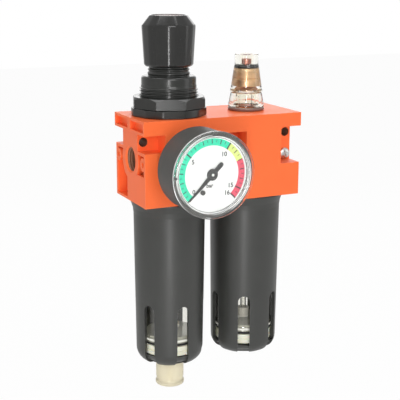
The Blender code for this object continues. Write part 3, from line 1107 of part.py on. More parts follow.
def make_gauge_pointer():
    """A tapering hand with a hub and a blunt tail, pressed on the pinion's shaft; its tip stands at zero."""
    low, high = POINTER_DEPTH, POINTER_DEPTH + POINTER_THICKNESS
    tip, waist, tail = POINTER_TIP_WIDTH / 2, POINTER_WAIST_WIDTH / 2, POINTER_TAIL_WIDTH / 2
    outline = [(-POINTER_TAIL, -tail), (0.0, -waist), (POINTER_LENGTH, -tip), (POINTER_LENGTH, tip),
               (0.0, waist), (-POINTER_TAIL, tail)]
    pointer = plate("gauge_pointer", outline, low, high, in_gauge(), BLACK, "front", POINTER_START)
    join(pointer, rod("pointer_hub", in_gauge(), POINTER_HUB_RADIUS, low, high + POINTER_HUB_RISE,
                      direction="front"))
    cut(pointer, rod("pointer_bore", in_gauge(), SHAFT_RADIUS + SHAFT_GRIP, low - PAST, high, steps=12,
                     direction="front"))
    solid_turned("pointer_shaft", [
        (SHAFT_RADIUS, high - SHAFT_GRIP), (SHAFT_RADIUS, MOVEMENT_DEPTH - SEAT_GAP),
        (PINION_RADIUS, MOVEMENT_DEPTH - SEAT_GAP), (PINION_RADIUS, SECTOR_DEPTH - SHAFT_GRIP),
    ], in_gauge(), STEEL, 12, "front")


def around_gauge(radius, angle, depth):
    """A point in the gauge at an angle from +X towards the top."""
    return in_gauge(depth) + Vector((radius * math.cos(angle), 0, radius * math.sin(angle)))


def make_gauge_movement():
    """Socket with its block, bourdon tube, movement plate, sector and stop pin."""
    block_end = TUBE_DEPTH + TUBE_RADIUS + MM
    hex_back = -GAUGE_STANDOFF + GASKET_THICKNESS + 2 * SEAT_GAP
    thread_end = -GAUGE_STANDOFF - GAUGE_PORT_DEPTH + MM
    socket = turned("gauge_socket", [
        (SOCKET_BLOCK_RADIUS, block_end), (SOCKET_BLOCK_RADIUS, hex_back), (SOCKET_THREAD_RADIUS, hex_back),
        (SOCKET_THREAD_RADIUS, thread_end), (SOCKET_BORE, thread_end), (SOCKET_BORE, block_end),
    ], in_gauge(), BRASS, 16, "front")
    hexagon = tube_shape("socket_hex", in_gauge(), SOCKET_HEX_RADIUS, SOCKET_BORE + MM, hex_back, -SEAT_GAP,
                         steps=6, direction="front")
    root = TUBE_COIL_RADIUS - TUBE_RADIUS - SEAT_GAP
    half = SOCKET_ARM_WIDTH / 2
    arm = block("socket_arm", (REGULATOR.x - half, CASE_BACK - block_end, -root),
                (REGULATOR.x + half, CASE_BACK - GAUGE_CASE_WALL - SEAT_GAP, -SOCKET_BORE - MM))
    join(socket, hexagon, arm)
    tube_shape("gauge_gasket", in_gauge(), GASKET_RADIUS, SOCKET_THREAD_RADIUS + RUNNING_GAP,
               -GAUGE_STANDOFF + SEAT_GAP, -GAUGE_STANDOFF + SEAT_GAP + GASKET_THICKNESS, RUBBER, 20, "front")
    curve = bpy.data.curves.new("bourdon_tube", "CURVE")
    curve.dimensions = "3D"
    curve.bevel_depth = TUBE_RADIUS
    curve.bevel_resolution = 1
    curve.use_fill_caps = True
    spline = curve.splines.new("POLY")
    steps = 16
    spline.points.add(steps)
    for i, point in enumerate(spline.points):
        angle = math.radians(-90) + TUBE_SWEEP * i / steps
        point.co = (*around_gauge(TUBE_COIL_RADIUS, angle, TUBE_DEPTH), 1.0)
    curve.materials.append(BRASS)
    PARTS.objects.link(bpy.data.objects.new("bourdon_tube", curve))
    # The movement plate stands on a post from the socket's block and carries the shaft and the sector.
    plate_low, plate_high = MOVEMENT_DEPTH, MOVEMENT_DEPTH + MOVEMENT_THICKNESS
    plate_radius = SECTOR_PIVOT + MOVEMENT_RIM
    movement = tube_shape("movement_plate", in_gauge(), plate_radius, SHAFT_RADIUS + RUNNING_GAP, plate_low,
                          plate_high, BRASS, 16, "front")
    post_angle = SECTOR_PIVOT_ANGLE + math.pi
    foot = around_gauge(SOCKET_BLOCK_RADIUS - MOVEMENT_POST_INSET, post_angle, 0)
    join(movement, rod("movement_post", foot, MOVEMENT_POST_RADIUS, block_end + SEAT_GAP,
                       plate_low + MOVEMENT_THICKNESS / 2, steps=10, direction="front"))
    pivot = around_gauge(SECTOR_PIVOT, SECTOR_PIVOT_ANGLE, 0)
    cut(movement, rod("sector_pivot_hole", pivot, SECTOR_PIN_RADIUS + RUNNING_GAP, plate_low - PAST,
                      plate_high + PAST, steps=12, direction="front"))
    # The sector meets the pinion and starts at one end of its own shorter sweep.
    half, tail = math.degrees(SECTOR_HALF_WIDTH), SECTOR_TAIL_WIDTH / 2
    outline = [(-SECTOR_TAIL, -tail), *arc((0.0, 0.0), SECTOR_RADIUS, -half, half, 6), (-SECTOR_TAIL, tail)]
    half_sweep = POINTER_SWEEP / 2 * PINION_RADIUS / SECTOR_PIVOT
    sector = plate("gauge_sector", outline, SECTOR_DEPTH, SECTOR_DEPTH + SECTOR_THICKNESS, pivot, BRASS,
                   "front", SECTOR_PIVOT_ANGLE + math.pi - half_sweep)
    join(sector, rod("sector_pin", pivot, SECTOR_PIN_RADIUS, SECTOR_DEPTH - SHAFT_GRIP, plate_high, steps=12,
                     direction="front"))
    # The pointer at zero leans towards the stop pin.
    aside = (POINTER_WAIST_WIDTH / 2 + SEAT_GAP + STOP_PIN_RADIUS) / STOP_PIN_PLACE
    stop = around_gauge(STOP_PIN_PLACE, POINTER_START + aside, 0)
    pin_end = POINTER_DEPTH + POINTER_THICKNESS + STOP_PIN_RISE
    rod("gauge_stop_pin", stop, STOP_PIN_RADIUS, POINTER_DEPTH, pin_end, GUARD_GREY, 12, "front")


make_body()
make_side_screw()
make_rear_plug()
make_bonnet()
make_panel_nut()
make_knob()
make_adjusting_screw()
make_diaphragm()
make_valve()
make_filter()
make_bowl("filter", REGULATOR)
make_bowl("lubricator", LUBRICATOR)
make_bases()
make_guard("filter", REGULATOR, FILTER_GUARD_TURN)
make_guard("lubricator", LUBRICATOR, LUBRICATOR_GUARD_TURN)
make_drain()
make_dome()
make_oil_feed()
make_flow_vane()
make_gauge_housing()
make_gauge_pointer()
make_gauge_movement()
for piece in [piece for piece in PARTS.objects if piece.type == "MESH"]:
    finish_part(piece)
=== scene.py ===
import math

import bmesh
import bpy
from mathutils import Matrix, Vector


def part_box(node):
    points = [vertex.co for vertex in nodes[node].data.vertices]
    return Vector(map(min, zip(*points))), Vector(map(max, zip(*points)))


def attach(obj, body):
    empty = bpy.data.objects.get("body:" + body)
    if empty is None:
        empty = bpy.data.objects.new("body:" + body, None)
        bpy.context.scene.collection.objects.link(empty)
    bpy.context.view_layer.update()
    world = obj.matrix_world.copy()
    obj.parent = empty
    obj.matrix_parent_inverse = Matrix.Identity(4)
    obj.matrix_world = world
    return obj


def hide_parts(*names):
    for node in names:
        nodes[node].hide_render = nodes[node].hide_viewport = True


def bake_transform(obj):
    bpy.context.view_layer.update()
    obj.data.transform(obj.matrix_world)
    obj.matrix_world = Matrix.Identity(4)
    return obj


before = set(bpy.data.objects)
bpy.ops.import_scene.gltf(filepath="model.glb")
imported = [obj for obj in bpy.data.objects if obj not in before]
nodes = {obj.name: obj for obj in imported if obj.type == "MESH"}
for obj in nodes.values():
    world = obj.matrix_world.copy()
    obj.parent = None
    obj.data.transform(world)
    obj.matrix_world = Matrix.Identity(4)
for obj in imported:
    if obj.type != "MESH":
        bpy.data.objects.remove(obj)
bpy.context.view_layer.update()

mm = 0.001
regulatorAxis = Vector((-21.5, -19.45, 0)) * mm   # the filter regulator's axis
lubricatorAxis = Vector((21.5, -19.45, 0)) * mm
gaugeBack = Vector((-21.5, -51.3, 0)) * mm        # middle of the gauge case's back

print("camera and room")
cameraView = {
    "place": (-0.2117, -0.46095, 0.0914),
    "target": (-0.0043, -0.01945, -0.02421),
    "roll": 0.21,          # degrees
    "lens": 87.99,         # mm on the sensor's width
    "sensor": 36,
}
studio = {
    "middle": (0, -0.02, -0.03),    # what the lamps point at
    "floorLevel": -0.26,
    "floorSize": 6.0,
    "floorColor": (0.86, 0.86, 0.85),
    "floorRoughness": 0.9,
    "floorGlow": 0.96,     # how much of the floor's paleness is its own, where it is seen directly
    "mirrored": 0.5,       # how bright the room looks in the gloss of the pieces
    "ambient": 0.30,
}
lamps = {
    "keyLight": {"place": (-0.16, -0.98, 0.55), "size": (0.55, 0.55), "power": 4.2},
    "fillLight": {"place": (0.85, -0.55, 0.25), "size": (0.4, 0.8), "power": 1.1},
    "leftLight": {"place": (-0.95, -0.2, 0.12), "size": (0.4, 0.6), "power": 1.9, "mirrored": False},
    "topLight": {"place": (0.05, 0.1, 0.9), "size": (0.9, 0.6), "power": 5.0},
    "backLight": {"place": (0.42, 0.95, 0.22), "size": (0.9, 0.3), "power": 1.3},
    "stripLight": {"place": (-0.176, -0.395, -0.03), "size": (0.02, 0.36), "power": 0.66},
}


def addObject(name, data):
    thing = bpy.data.objects.new(name, data)
    bpy.context.scene.collection.objects.link(thing)
    return thing


def addNode(tree, kind, inputs=None, **settings):
    # each input, by name or number, is a value or another node's output
    node = tree.nodes.new("ShaderNode" + kind)
    for key, value in settings.items():
        setattr(node, key, value)
    for label, value in (inputs or {}).items():
        if isinstance(value, bpy.types.NodeSocket):
            tree.links.new(value, node.inputs[label])
        else:
            node.inputs[label].default_value = value
    return node


def mathNode(tree, operation, first, second):
    return addNode(tree, "Math", {0: first, 1: second}, operation=operation).outputs[0]


def mixSurface(tree, share, first, second):
    mix = addNode(tree, "MixShader", {0: share, 1: first.outputs[0], 2: second.outputs[0]})
    tree.links.new(mix.outputs[0], tree.nodes["Material Output"].inputs["Surface"])


def placeCamera():
    data = bpy.data.cameras.new("camera")
    data.lens, data.sensor_width = cameraView["lens"], cameraView["sensor"]
    camera = addObject("camera", data)
    place, target = Vector(cameraView["place"]), Vector(cameraView["target"])
    aim = (target - place).to_track_quat("-Z", "Y").to_matrix().to_4x4()
    roll = Matrix.Rotation(math.radians(cameraView["roll"]), 4, "Z")
    camera.matrix_world = Matrix.Translation(place) @ aim @ roll
    bpy.context.scene.camera = camera


def addLamp(name, place, size, power, mirrored=True):
    data = bpy.data.lights.new(name, "AREA")
    data.shape = "RECTANGLE"
    data.size, data.size_y = size
    data.energy = power
    lamp = addObject(name, data)
    lamp.location = place
    lamp.rotation_euler = (Vector(studio["middle"]) - Vector(place)).to_track_quat("-Z", "Y").to_euler()
    lamp.visible_glossy = mirrored


def seenOutright(tree):
    # 1 for a surface that is looked at, also through glass, less where it is mirrored and 0 where it only
    # gives light
    path = addNode(tree, "LightPath")
    value = mathNode(tree, "MULTIPLY", path.outputs["Is Glossy Ray"], studio["mirrored"])
    for label in ("Is Camera Ray", "Is Transmission Ray"):
        value = mathNode(tree, "MAXIMUM", value, path.outputs[label])
    return value


def lightRoom():
    world = bpy.data.worlds.new("studio")
    bpy.context.scene.world = world
    world.use_nodes = True
    tree = world.node_tree
    tree.nodes.clear()
    level = addNode(tree, "MapRange", {"Value": seenOutright(tree), "To Min": studio["ambient"]})
    sky = addNode(tree, "Background", {"Color": (1, 1, 1, 1), "Strength": level.outputs["Result"]})
    addNode(tree, "OutputWorld", {"Surface": sky.outputs[0]})
    for name, lamp in lamps.items():
        addLamp(name, **lamp)


def layFloor():
    half, level = studio["floorSize"] / 2, studio["floorLevel"]
    mesh = bpy.data.meshes.new("floor")
    corners = [(-half, -half, level), (half, -half, level), (half, half, level), (-half, half, level)]
    mesh.from_pydata(corners, [], [(0, 1, 2, 3)])
    floor = addObject("floor", mesh)
    material = bpy.data.materials.new("paleFloor")
    material.use_nodes = True
    tree = material.node_tree
    matte = tree.nodes["Principled BSDF"]
    matte.inputs["Base Color"].default_value = (*studio["floorColor"], 1)
    matte.inputs["Roughness"].default_value = studio["floorRoughness"]
    share = mathNode(tree, "MULTIPLY", seenOutright(tree), studio["floorGlow"])
    mixSurface(tree, share, matte, addNode(tree, "Emission"))
    mesh.materials.append(material)


bpy.context.scene.view_settings.view_transform = "Standard"
placeCamera()
lightRoom()
layFloor()

print("shared effects")


def startGroup(name, inputs, outputs):
    # a float makes a number's input, a tuple a vector's
    tree = bpy.data.node_groups.new(name, "ShaderNodeTree")
    for label, value in inputs.items():
        kind = "NodeSocketFloat" if isinstance(value, float) else "NodeSocketVector"
        tree.interface.new_socket(label, in_out="INPUT", socket_type=kind).default_value = value
    for label in outputs:
        tree.interface.new_socket(label, in_out="OUTPUT", socket_type="NodeSocketFloat")
    return tree, tree.nodes.new("NodeGroupInput").outputs, tree.nodes.new("NodeGroupOutput").inputs


def mouldedGrain():
    # fine pitted grain and a slow drift of tone, as on moulded plastic or enamel
    tree, entry, out = startGroup("mouldedGrain", {"Vector": (0, 0, 0), "Grain": 3000.0, "Drift": 90.0},
                                  ("Height", "Tone"))
    fine = addNode(tree, "TexNoise", {"Vector": entry["Vector"], "Scale": entry["Grain"], "Detail": 3.0,
                                      "Roughness": 0.55}).outputs["Fac"]
    slow = addNode(tree, "TexNoise", {"Vector": entry["Vector"], "Scale": entry["Drift"],
                                      "Detail": 2.0}).outputs["Fac"]
    mixed = mathNode(tree, "ADD", mathNode(tree, "MULTIPLY", fine, 0.35),
                     mathNode(tree, "MULTIPLY", slow, 0.65))
    tree.links.new(fine, out["Height"])
    tree.links.new(mixed, out["Tone"])
    return tree


def paintedEdgeHighlights():
    # 1 where the surface bends sharply, 0 on its faces; it lays a painted highlight along the edges, broken
    # up by noise
    tree, entry, out = startGroup("paintedEdgeHighlights", {"Vector": (0, 0, 0), "Reach": 0.0004, "Break": 900.0},
                                  ("Mask",))
    bevel = addNode(tree, "Bevel", {"Radius": entry["Reach"]}, samples=4)
    flat = addNode(tree, "NewGeometry").outputs["Normal"]
    facing = addNode(tree, "VectorMath", {0: bevel.outputs["Normal"], 1: flat}, operation="DOT_PRODUCT")
    bend = mathNode(tree, "SUBTRACT", 1.0, facing.outputs["Value"])
    noise = addNode(tree, "TexNoise", {"Vector": entry["Vector"], "Scale": entry["Break"], "Detail": 4.0})
    uneven = mathNode(tree, "MULTIPLY", bend, mathNode(tree, "MULTIPLY", noise.outputs["Fac"], 9.0))
    tree.links.new(addNode(tree, "Clamp", {"Value": uneven}).outputs[0], out["Mask"])
    return tree


def drawnMetal():
    # fine lines round the turned or drawn direction, and smudges of tone
    tree, entry, out = startGroup("drawnMetal", {"Vector": (0, 0, 0), "Stretch": (300.0, 300.0, 9000.0)},
                                  ("Height", "Tone"))
    scaled = addNode(tree, "VectorMath", {0: entry["Vector"], 1: entry["Stretch"]}, operation="MULTIPLY")
    lines = addNode(tree, "TexNoise", {"Vector": scaled.outputs[0], "Scale": 1.0, "Detail": 4.0})
    smudge = addNode(tree, "TexNoise", {"Vector": entry["Vector"], "Scale": 220.0})
    tree.links.new(lines.outputs["Fac"], out["Height"])
    tree.links.new(smudge.outputs["Fac"], out["Tone"])
    return tree


grainGroup = mouldedGrain()
edgeHighlightGroup = paintedEdgeHighlights()
drawnGroup = drawnMetal()

print("finishes")


def addGroup(tree, group, **inputs):
    node = tree.nodes.new("ShaderNodeGroup")
    node.node_tree = group
    tree.links.new(addNode(tree, "TexCoord").outputs["Object"], node.inputs["Vector"])
    for label, value in inputs.items():
        node.inputs[label].default_value = value
    return node.outputs


def mixColor(tree, share, first, second):
    return addNode(tree, "Mix", {0: share, 6: first, 7: second}, data_type="RGBA").outputs[2]


def spread(tree, noise, low, high):
    # lays the middle of a noise's range out from low to high
    return addNode(tree, "MapRange", {"Value": noise, "From Min": 0.3, "From Max": 0.7, "To Min": low,
                                      "To Max": high}).outputs["Result"]


# what a look has where it says nothing else
usualLook = {
    "tone": 0.12, "grain": 3000.0, "drift": 90.0, "bump": 0.3, "depth": 0.00002, "metallic": 0.0, "coat": 0.0,
    "coatRoughness": 0.05, "clear": 0.0, "ior": 1.5, "specular": 0.5, "soft": 0.0,
    "softRadius": (0.003, 0.002, 0.001),
}
shaderSockets = {
    "metallic": "Metallic", "coat": "Coat Weight", "coatRoughness": "Coat Roughness", "ior": "IOR",
    "clear": "Transmission Weight", "specular": "Specular IOR Level", "soft": "Subsurface Weight",
}


def makeFinish(name, look):
    look = {**usualLook, **look}
    material = bpy.data.materials.new(name)
    material.use_nodes = True
    tree = material.node_tree
    shader = tree.nodes["Principled BSDF"]
    if "drawn" in look:
        texture = addGroup(tree, drawnGroup, Stretch=look["drawn"])
    else:
        texture = addGroup(tree, grainGroup, Grain=look["grain"], Drift=look["drift"])
    light = (*look["color"], 1)
    dark = (*(c * (1 - look["tone"]) for c in look["color"]), 1)
    color = mixColor(tree, spread(tree, texture["Tone"], 0, 1), dark, light)
    # painted highlight: sharp edges take a lighter colour
    if "edgeHighlightColor" in look:
        color = mixColor(tree, addGroup(tree, edgeHighlightGroup)["Mask"], color, (*look["edgeHighlightColor"], 1))
    bump = addNode(tree, "Bump", {"Strength": look["bump"], "Distance": look["depth"],
                                  "Height": texture["Height"]})
    tree.links.new(color, shader.inputs["Base Color"])
    tree.links.new(spread(tree, texture["Tone"], *look["roughness"]), shader.inputs["Roughness"])
    tree.links.new(bump.outputs["Normal"], shader.inputs["Normal"])
    for key, socket in shaderSockets.items():
        shader.inputs[socket].default_value = look[key]
    if look["soft"]:
        shader.inputs["Subsurface Radius"].default_value = look["softRadius"]
        shader.inputs["Subsurface Scale"].default_value = 1.0
    if look["clear"]:
        # light for the surfaces behind passes straight through
        path = addNode(tree, "LightPath")
        straight = mathNode(tree, "MAXIMUM", path.outputs["Is Shadow Ray"], path.outputs["Is Diffuse Ray"])
        mixSurface(tree, straight, shader, addNode(tree, "BsdfTransparent", {"Color": light}))
    return material


ink = {"tone": 0.05, "roughness": (0.4, 0.55), "grain": 3500.0, "bump": 0.1}
looks = {
    "orangeEnamel": {"color": (0.97, 0.170, 0.048), "tone": 0.07, "roughness": (0.34, 0.44), "grain": 1500.0,
                     "drift": 60.0, "bump": 0.12, "edgeHighlightColor": (1.0, 0.24, 0.09), "coat": 0.03,
                     "coatRoughness": 0.2, "specular": 0.22},
    # painted shade: the dark brown inside the ports, their threads and the wall holes
    "paintedPortShade": {"color": (0.36, 0.18, 0.11), "tone": 0.3, "roughness": (0.35, 0.5), "grain": 2400.0,
                "metallic": 0.4},
    "blackNylon": {"color": (0.022, 0.023, 0.021), "tone": 0.25, "roughness": (0.19, 0.27), "grain": 2600.0,
                   "bump": 0.18, "edgeHighlightColor": (0.08, 0.08, 0.076)},
    "knobNylon": {"color": (0.017, 0.017, 0.016), "tone": 0.2, "roughness": (0.15, 0.21), "grain": 2200.0,
                  "bump": 0.06, "edgeHighlightColor": (0.06, 0.06, 0.058)},
    "guardNylon": {"color": (0.040, 0.041, 0.038), "tone": 0.18, "roughness": (0.34, 0.44), "grain": 2400.0,
                   "edgeHighlightColor": (0.10, 0.10, 0.10)},
    "caseNylon": {"color": (0.056, 0.054, 0.049), "tone": 0.15, "roughness": (0.45, 0.58), "grain": 2400.0,
                  "edgeHighlightColor": (0.10, 0.10, 0.09)},
    "rubber": {"color": (0.014, 0.014, 0.014), "tone": 0.3, "roughness": (0.6, 0.75), "grain": 4000.0,
               "bump": 0.35},
    "brass": {"color": (0.72, 0.50, 0.22), "tone": 0.18, "roughness": (0.22, 0.36), "metallic": 1.0,
              "drawn": (400.0, 400.0, 7000.0), "bump": 0.15, "edgeHighlightColor": (0.85, 0.66, 0.36)},
    "zincSteel": {"color": (0.66, 0.66, 0.64), "roughness": (0.22, 0.34), "metallic": 1.0,
                  "drawn": (500.0, 500.0, 6000.0), "bump": 0.12, "edgeHighlightColor": (0.8, 0.8, 0.78)},
    "springSteel": {"color": (0.42, 0.42, 0.43), "tone": 0.2, "roughness": (0.25, 0.4), "metallic": 1.0,
                    "drawn": (900.0, 900.0, 3000.0), "bump": 0.2, "edgeHighlightColor": (0.6, 0.6, 0.6)},
    "clearPlastic": {"color": (0.97, 0.965, 0.93), "tone": 0.02, "roughness": (0.02, 0.05), "clear": 1.0,
                     "ior": 1.49, "grain": 700.0, "bump": 0.05, "depth": 0.00001},
    "lensGlass": {"color": (0.985, 0.99, 0.985), "tone": 0.01, "roughness": (0.01, 0.03), "clear": 1.0,
                  "ior": 1.46, "grain": 500.0, "bump": 0.03, "depth": 0.000005},
    "creamPlastic": {"color": (0.80, 0.79, 0.64), "tone": 0.08, "roughness": (0.16, 0.26), "grain": 2000.0,
                     "bump": 0.15, "soft": 0.25},
    "drainPlastic": {"color": (0.84, 0.78, 0.60), "tone": 0.08, "roughness": (0.28, 0.38), "grain": 1200.0,
                     "bump": 0.12, "clear": 0.45},
    # painted reflection and shade: grey laid on the base's spigot where it is seen through the clear bowl
    "paintedBowlReflection": {"color": (0.62, 0.62, 0.55), "tone": 0.3, "roughness": (0.10, 0.2), "grain": 900.0,
                      "drift": 60.0, "bump": 0.1},
    "domePlastic": {"color": (0.99, 0.975, 0.91), "tone": 0.015, "roughness": (0.01, 0.04), "clear": 1.0,
                    "ior": 1.49, "grain": 500.0, "bump": 0.06, "depth": 0.00001},
    "needleBrown": {"color": (0.30, 0.10, 0.07), "tone": 0.3, "roughness": (0.25, 0.35), "metallic": 0.5,
                    "bump": 0.1},
    "amberBush": {"color": (0.70, 0.46, 0.26), "tone": 0.45, "roughness": (0.28, 0.4), "metallic": 0.6,
                  "drawn": (500.0, 500.0, 5000.0), "bump": 0.15, "edgeHighlightColor": (0.8, 0.58, 0.26)},
    "whitePlastic": {"color": (0.84, 0.84, 0.80), "tone": 0.06, "roughness": (0.35, 0.5), "grain": 2600.0,
                     "bump": 0.2},
    "sintered": {"color": (0.80, 0.77, 0.70), "tone": 0.35, "roughness": (0.8, 0.95), "grain": 5200.0,
                 "drift": 1500.0, "bump": 0.9, "depth": 0.00008},
    "dialWhite": {"color": (0.95, 0.95, 0.94), "tone": 0.03, "roughness": (0.45, 0.6), "grain": 3500.0,
                  "bump": 0.08},
    "dialInk": {**ink, "color": (0.03, 0.03, 0.03), "tone": 0.15},
    "dialGreen": {**ink, "color": (0.03, 0.76, 0.46)},
    "dialYellow": {**ink, "color": (0.78, 0.90, 0.27)},
    "dialRed": {**ink, "color": (0.82, 0.09, 0.15)},
    "capBrown": {"color": (0.22, 0.13, 0.11), "tone": 0.15, "roughness": (0.3, 0.42), "grain": 2200.0,
                 "bump": 0.15, "edgeHighlightColor": (0.3, 0.22, 0.2)},
}
finishes = {name: makeFinish(name, look) for name, look in looks.items()}

# the solids that no piece of this script stands in for
nodeFinishes = {
    "caseNylon": ["gauge_stop_pin"],
    "rubber": ["filter_bowl_seal", "lubricator_bowl_seal", "drain_seal", "flow_vane", "gauge_gasket"],
    "needleBrown": ["needle_screw"],
    "brass": ["rear_gauge_plug", "valve_seat", "valve_poppet", "spring_nut", "gauge_socket", "movement_plate",
              "bourdon_tube", "gauge_sector"],
    "zincSteel": ["adjusting_screw", "diaphragm_plate", "check_ball", "pointer_shaft"],
    "clearPlastic": ["siphon_tube"],
    "creamPlastic": ["drain_stem", "oil_feed_insert"],
    "whitePlastic": ["valve_holder", "filter_baffle", "element_retainer"],
    "sintered": ["filter_element", "siphon_strainer"],
}
for finish, names in nodeFinishes.items():
    for name in names:
        nodes[name].data.materials.clear()
        nodes[name].data.materials.append(finishes[finish])

print("tools for making pieces")
aims = {
    "up": Matrix.Identity(4),
    "front": Matrix.Rotation(math.pi / 2, 4, "X"),
    "left": Matrix.Rotation(-math.pi / 2, 4, "Y"),
    "right": Matrix.Rotation(math.pi / 2, 4, "Y"),
    "rear": Matrix.Rotation(-math.pi / 2, 4, "X"),
}


def rounded(points, loop):
    # (radius, height) corners, each with an optional fillet radius as its third number
    out = []
    count = len(points)
    for i, point in enumerate(points):
        here = Vector(point[:2])
        before, after = Vector(points[i - 1][:2]) - here, Vector(points[(i + 1) % count][:2]) - here
        fillet = point[2] if len(point) > 2 else 0.0
        half = before.angle(after, 0.0) / 2
        if not fillet or (not loop and i in (0, count - 1)) or half > math.radians(88):
            out.append(tuple(here))
            continue
        reach = min(fillet / math.tan(half), 0.45 * before.length, 0.45 * after.length)
        start, end = here + before.normalized() * reach, here + after.normalized() * reach
        steps = max(2, round((math.pi - 2 * half) / math.radians(22)))
        for k in range(steps + 1):
            t = k / steps
            out.append(tuple(start * (1 - t) ** 2 + here * 2 * t * (1 - t) + end * t ** 2))
    return out


def arcPoints(x, y, radius, first, last, count):
    angles = (first + (last - first) * k / count for k in range(count + 1))
    return [(x + radius * math.cos(a), y + radius * math.sin(a)) for a in angles]


def newPiece(name, build, at=(0, 0, 0), direction="up", spin=0.0):
    # the mesh is moved to its place, so that the object itself stays at the origin
    mesh = bpy.data.meshes.new(name)
    shape = bmesh.new()
    build(shape)
    bmesh.ops.transform(shape, verts=shape.verts,
                        matrix=Matrix.Translation(at) @ aims[direction] @ Matrix.Rotation(spin, 4, "Z"))
    bmesh.ops.recalc_face_normals(shape, faces=shape.faces)
    shape.to_mesh(mesh)
    shape.free()
    return addObject(name, mesh)


def joinRings(shape, rings):
    # a face over each end, and the walls between one ring and the next
    shape.faces.new(rings[0])
    shape.faces.new(rings[-1])
    for first, second in zip(rings, rings[1:]):
        for i in range(len(first)):
            j = (i + 1) % len(first)
            shape.faces.new((first[i], first[j], second[j], second[i]))


def pointRound(shape, angle, reach, height):
    return shape.verts.new((reach * mm * math.cos(angle), reach * mm * math.sin(angle), height * mm))


def turnedPiece(name, points, at=(0, 0, 0), direction="up", steps=96, loop=True):
    # (radius, height, fillet) corners in millimetres, turned about the axis
    profile = rounded([tuple(v * mm for v in point) for point in points], loop)

    def build(shape):
        rows = []
        for radius, height in profile:
            if radius < 1e-7:
                rows.append([shape.verts.new((0, 0, height))])
                continue
            rows.append([shape.verts.new((radius * math.cos(a), radius * math.sin(a), height))
                         for a in (math.tau * i / steps for i in range(steps))])
        for first, second in zip(rows, rows[1:] + rows[:1] if loop else rows[1:]):
            if len(first) == len(second) == 1:
                continue
            for i in range(steps):
                j = (i + 1) % steps
                corners = [first[i % len(first)], second[i % len(second)], second[j % len(second)],
                           first[j % len(first)]]
                shape.faces.new(dict.fromkeys(corners))

    return newPiece(name, build, at, direction)


def rodPiece(name, radius, low, high, at=(0, 0, 0), direction="up", steps=96):
    corners = [(0, high), (radius, high), (radius, low), (0, low)]
    return turnedPiece(name, corners, at, direction, steps, loop=False)


def ringPiece(name, at, outer, inner, low, high, fillets):
    # the fillets are those of the outer and of the inner edges
    return turnedPiece(name, [(outer, high, fillets[0]), (outer, low, fillets[0]), (inner, low, fillets[1]),
                              (inner, high, fillets[1])], at)


def prism(name, outline, low, high, at=(0, 0, 0), direction="up", spin=0.0):
    # a flat outline of (x, y) millimetres, thickened from low to high
    def build(shape):
        joinRings(shape, [[shape.verts.new((x * mm, y * mm, z * mm)) for x, y in outline]
                          for z in (low, high)])

    return newPiece(name, build, at, direction, spin)


def slab(name, x1, x2, y1, y2, z1, z2):
    # between two corners, in millimetres
    (x1, x2), (y1, y2), (z1, z2) = sorted((x1, x2)), sorted((y1, y2)), sorted((z1, z2))
    return prism(name, [(x1, y1), (x2, y1), (x2, y2), (x1, y2)], z1, z2)


def archOutline(half, low, middle, count):
    # a window that is half wide to each side, from low to the middle of its round top
    return [(half, low)] + arcPoints(0, middle, half, 0, math.pi, count) + [(-half, low)]


def turnedTo(tool, axis, degrees, before=Matrix.Identity(4)):
    around = Matrix.Translation(axis) @ Matrix.Rotation(math.radians(degrees), 4, "Z")
    tool.data.transform(around @ before)
    return tool


def settle(piece):
    graph = bpy.context.evaluated_depsgraph_get()
    mesh = bpy.data.meshes.new_from_object(piece.evaluated_get(graph))
    piece.modifiers.clear()
    piece.data = mesh
    mesh.name = piece.name
    return piece


def carve(piece, cutters, operation="DIFFERENCE"):
    group = bpy.data.collections.new(piece.name + "Tools")
    for cutter in cutters:
        group.objects.link(cutter)
    step = piece.modifiers.new("carve", "BOOLEAN")
    step.operation = operation
    step.operand_type = "COLLECTION"
    step.collection = group
    step.solver = "EXACT"
    settle(piece)
    for cutter in cutters:
        bpy.data.objects.remove(cutter, do_unlink=True)
    bpy.data.collections.remove(group)
    return piece


def softenEdges(piece, width, angle=32, segments=2):
    bevel = piece.modifiers.new("edges", "BEVEL")
    bevel.width = width * mm
    bevel.segments = segments
    bevel.limit_method = "ANGLE"
    bevel.angle_limit = math.radians(angle)
    bevel.harden_normals = False
    return piece


def dress(piece, finish, body, replaced=()):
    # body is one body's name, to which the piece is attached, or two names and two points, which are not
    # read: then the piece stays unattached with its place baked into its mesh
    piece.data.materials.clear()
    piece.data.materials.append(finishes[finish])
    piece.data.shade_smooth()
    piece.data.set_sharp_from_angle(angle=math.radians(48))
    even = piece.modifiers.new("even shading", "WEIGHTED_NORMAL")
    even.keep_sharp = True
    if isinstance(body, str):
        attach(piece, body)
    else:
        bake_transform(piece)
    if replaced:
        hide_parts(*replaced)
    return piece


def secondFinish(piece, finish, chosen):
    # for the faces whose middle, in millimetres, is chosen
    piece.data.materials.append(finishes[finish])
    for face in piece.data.polygons:
        face.material_index = int(chosen(*(face.center / mm)))


def threadRidge(name, radius, crest, low, high, pitch, at, direction="up", width=0.8, steps=48):
    # a helical ridge from radius to crest, inside or outside it, that fades out over a sixth at each end
    count = int(steps * ((high - low) / pitch))

    def build(shape):
        rings = []
        for i in range(count + 1):
            angle = math.tau * i / steps
            height = low + pitch * i / steps
            fade = min(1.0, 6 * i / count, 6 * (count - i) / count)
            peak = radius + (crest - radius) * max(fade, 0.05)
            half = pitch * width / 2
            rings.append([pointRound(shape, angle, reach, height + rise) for reach, rise in (
                (radius, -half), (peak, -half * 0.25), (peak, half * 0.25), (radius, half))])
        joinRings(shape, rings)

    return newPiece(name, build, at, direction)


